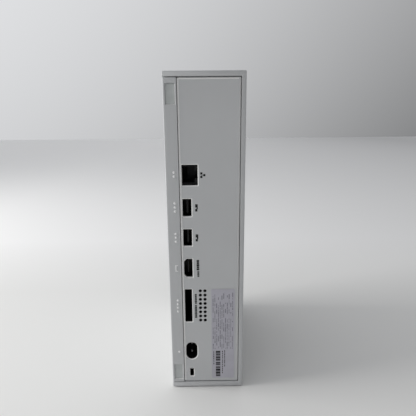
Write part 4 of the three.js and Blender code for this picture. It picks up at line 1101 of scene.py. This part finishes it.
def make_label():
    """The rating label: film with round corners, rows of plain dashes and a block of bars."""
    x, y, z = limits("rating_label")
    bm = bmesh.new()
    add_plate(bm, "Y", rectangle(x, z, LABEL_CORNER, 6), [], y[0], y[1] - LABEL_SUNK)
    add_piece("label_sheet", bm, surfaces["label_film"], replaces=["rating_label"])
    face = (y[1] - PRINT_SPAN[0], y[1] - PRINT_SPAN[1])
    bm = bmesh.new()
    for row in range(LABEL_ROWS):
        place = x[1] - (FIRST_ROW + row * ROW_PITCH) * MM
        low = z[0] + ROWS_FROM * MM
        high = z[1] - (ROW_TOP_LEAST + ROW_TOP_SPREAD * draw.random()) * MM
        while high > low:
            length = draw.uniform(*DASH_LENGTHS) * MM
            across = around(place, draw.uniform(*DASH_WIDTHS) * MM)
            add_box(bm, across, face, (max(low, high - length), high))
            high -= length + draw.choice(DASH_GAPS) * MM
    add_piece("label_rows", bm, faint_ink)
    bm = bmesh.new()
    low, high = (z[0] + place * MM for place in BARS_ALONG)
    bars = [x[1] - place * MM for place in BARS_ACROSS]
    while low < high:
        width = draw.choice(BAR_WIDTHS) * MM
        add_box(bm, bars, face, (low, min(low + width, high)))
        low += width + draw.choice(BAR_GAPS) * MM
    for place, start, end in COLUMNS:
        high = z[0] + end * MM
        across = around(x[1] - place * MM, COLUMN_WIDTH)
        while high > z[0] + start * MM:
            length = draw.uniform(*COLUMN_STROKES) * MM
            add_box(bm, across, face, (high - length, high))
            high -= length + draw.uniform(*COLUMN_GAPS) * MM
    add_piece("label_bars", bm, dark_ink)


SEAL_MARGIN = 0.4 * MM
SEAL_SLOPE_GAP = 0.04 * MM
SEAL_CORNER = 0.7 * MM
SEAL_SUNK = 0.03 * MM
SEAL_SLOPE_FLOOR = 0.02 * MM


def make_seal(end):
    """A seal sticker with round corners in its pocket, and pale slopes along two of the pocket's sides:
    painted highlight on the pocket's lit walls.
    """
    node = f"seal_{end}"
    x, y, z = limits(node)
    bm = bmesh.new()
    add_plate(bm, "Y", rectangle(x, z, SEAL_CORNER, 5), [], y[0], y[1] - SEAL_SUNK)
    add_piece(f"seal_sheet_{end}", bm, surfaces["seal_film"], replaces=[node])
    bm = bmesh.new()
    far = x[0] - SEAL_MARGIN
    low = z[0] - SEAL_MARGIN
    floor = y[0] + SEAL_SLOPE_FLOOR
    slope = SEAL_MARGIN - SEAL_SLOPE_GAP
    side = [(far, STRIP_FACE), (far, floor), (far + slope, floor)]
    add_plate(bm, "Z", side, [], low, z[1])
    base = [(STRIP_FACE, low), (floor, low), (floor, low + slope)]
    add_plate(bm, "X", base, [], far, x[1])
    add_piece(f"seal_pocket_highlight_{end}", bm, painted_highlight_white)


make_label()
make_seal("upper")
make_seal("lower")


# ---- Front marks -------------------------------------------------------------------------

GLYPH_RADIUS = 3.0 * MM
GLYPH_STROKE = 0.7 * MM
GLYPH_HALF_GAP = math.radians(35)
GLYPH_STEPS = 40
GLYPH_STEM = (0.4 * MM, 3.3 * MM)
GLYPH_STEM_CORNER = 0.25 * MM
# The glyph's faces, from the button's front face inwards.
GLYPH_SPAN = (-0.02 * MM, 0.05 * MM)


def make_power_glyph():
    """The plain power sign on the button: an open ring and a short bar."""
    x, y, z = limits("power_button")
    u, v = middle(x), middle(z)
    less = GLYPH_RADIUS - GLYPH_STROKE
    sweep = 2 * math.pi - 2 * GLYPH_HALF_GAP
    outer, inner = [], []
    for step in range(GLYPH_STEPS + 1):
        angle = math.pi / 2 + GLYPH_HALF_GAP + sweep * step / GLYPH_STEPS
        outer.append((u + GLYPH_RADIUS * math.cos(angle), v + GLYPH_RADIUS * math.sin(angle)))
        inner.append((u + less * math.cos(angle), v + less * math.sin(angle)))
    bm = bmesh.new()
    depth = (y[0] + GLYPH_SPAN[0], y[0] + GLYPH_SPAN[1])
    add_plate(bm, "Y", outer + inner[::-1], [], *depth)
    height = (v + GLYPH_STEM[0], v + GLYPH_STEM[1])
    add_plate(bm, "Y", rectangle(around(u, GLYPH_STROKE), height, GLYPH_STEM_CORNER), [], *depth)
    add_piece("power_glyph", bm, faint_ink, body="power_button")


make_power_glyph()


# ---- Stage -------------------------------------------------------------------------------

# The sky is a grey that brightens towards +X, -Y and the zenith, and never falls below a floor.
SKY_MIDDLE = 0.28
SKY_SLOPE = (0.40, -0.22, 0.40)
SKY_LEAST = 0.13
SKY_COLOUR = (0.97, 0.98, 1, 1)
FLOOR_HALF_SIZE = 6
KEY_PLACE = (1.35, 0.1, 0.72)
KEY_TARGET = (0, 0, 0.08)
KEY_SIZE = (0.6, 0.6)
KEY_POWER = 13
KEY_COLOUR = (1, 0.99, 0.97)


def make_stage():
    """The floor, the sky and the one lamp that stand for the photo's room."""
    bm = bmesh.new()
    bmesh.ops.create_grid(bm, x_segments=1, y_segments=1, size=FLOOR_HALF_SIZE)
    mesh = bpy.data.meshes.new("floor")
    bm.to_mesh(mesh)
    bm.free()
    mesh.materials.append(floor_material())
    floor = bpy.data.objects.new("floor", mesh)
    bpy.context.scene.collection.objects.link(floor)
    world = bpy.data.worlds.new("studio")
    world.use_nodes = True
    tree = world.node_tree
    background = tree.nodes["Background"]
    background.inputs["Color"].default_value = SKY_COLOUR
    place = tree.nodes.new("ShaderNodeTexCoord").outputs["Generated"]
    slope = tree.nodes.new("ShaderNodeVectorMath")
    slope.operation = "DOT_PRODUCT"
    slope.inputs[1].default_value = SKY_SLOPE
    tree.links.new(place, slope.inputs[0])
    level = tree.nodes.new("ShaderNodeMath")
    level.operation = "ADD"
    level.inputs[1].default_value = SKY_MIDDLE
    tree.links.new(slope.outputs["Value"], level.inputs[0])
    least = tree.nodes.new("ShaderNodeMath")
    least.operation = "MAXIMUM"
    least.inputs[1].default_value = SKY_LEAST
    tree.links.new(level.outputs["Value"], least.inputs[0])
    tree.links.new(least.outputs["Value"], background.inputs["Strength"])
    bpy.context.scene.world = world
    bpy.context.scene.view_settings.view_transform = "Standard"
    area_light("key", KEY_PLACE, KEY_TARGET, KEY_SIZE, KEY_POWER, KEY_COLOUR)


make_stage()
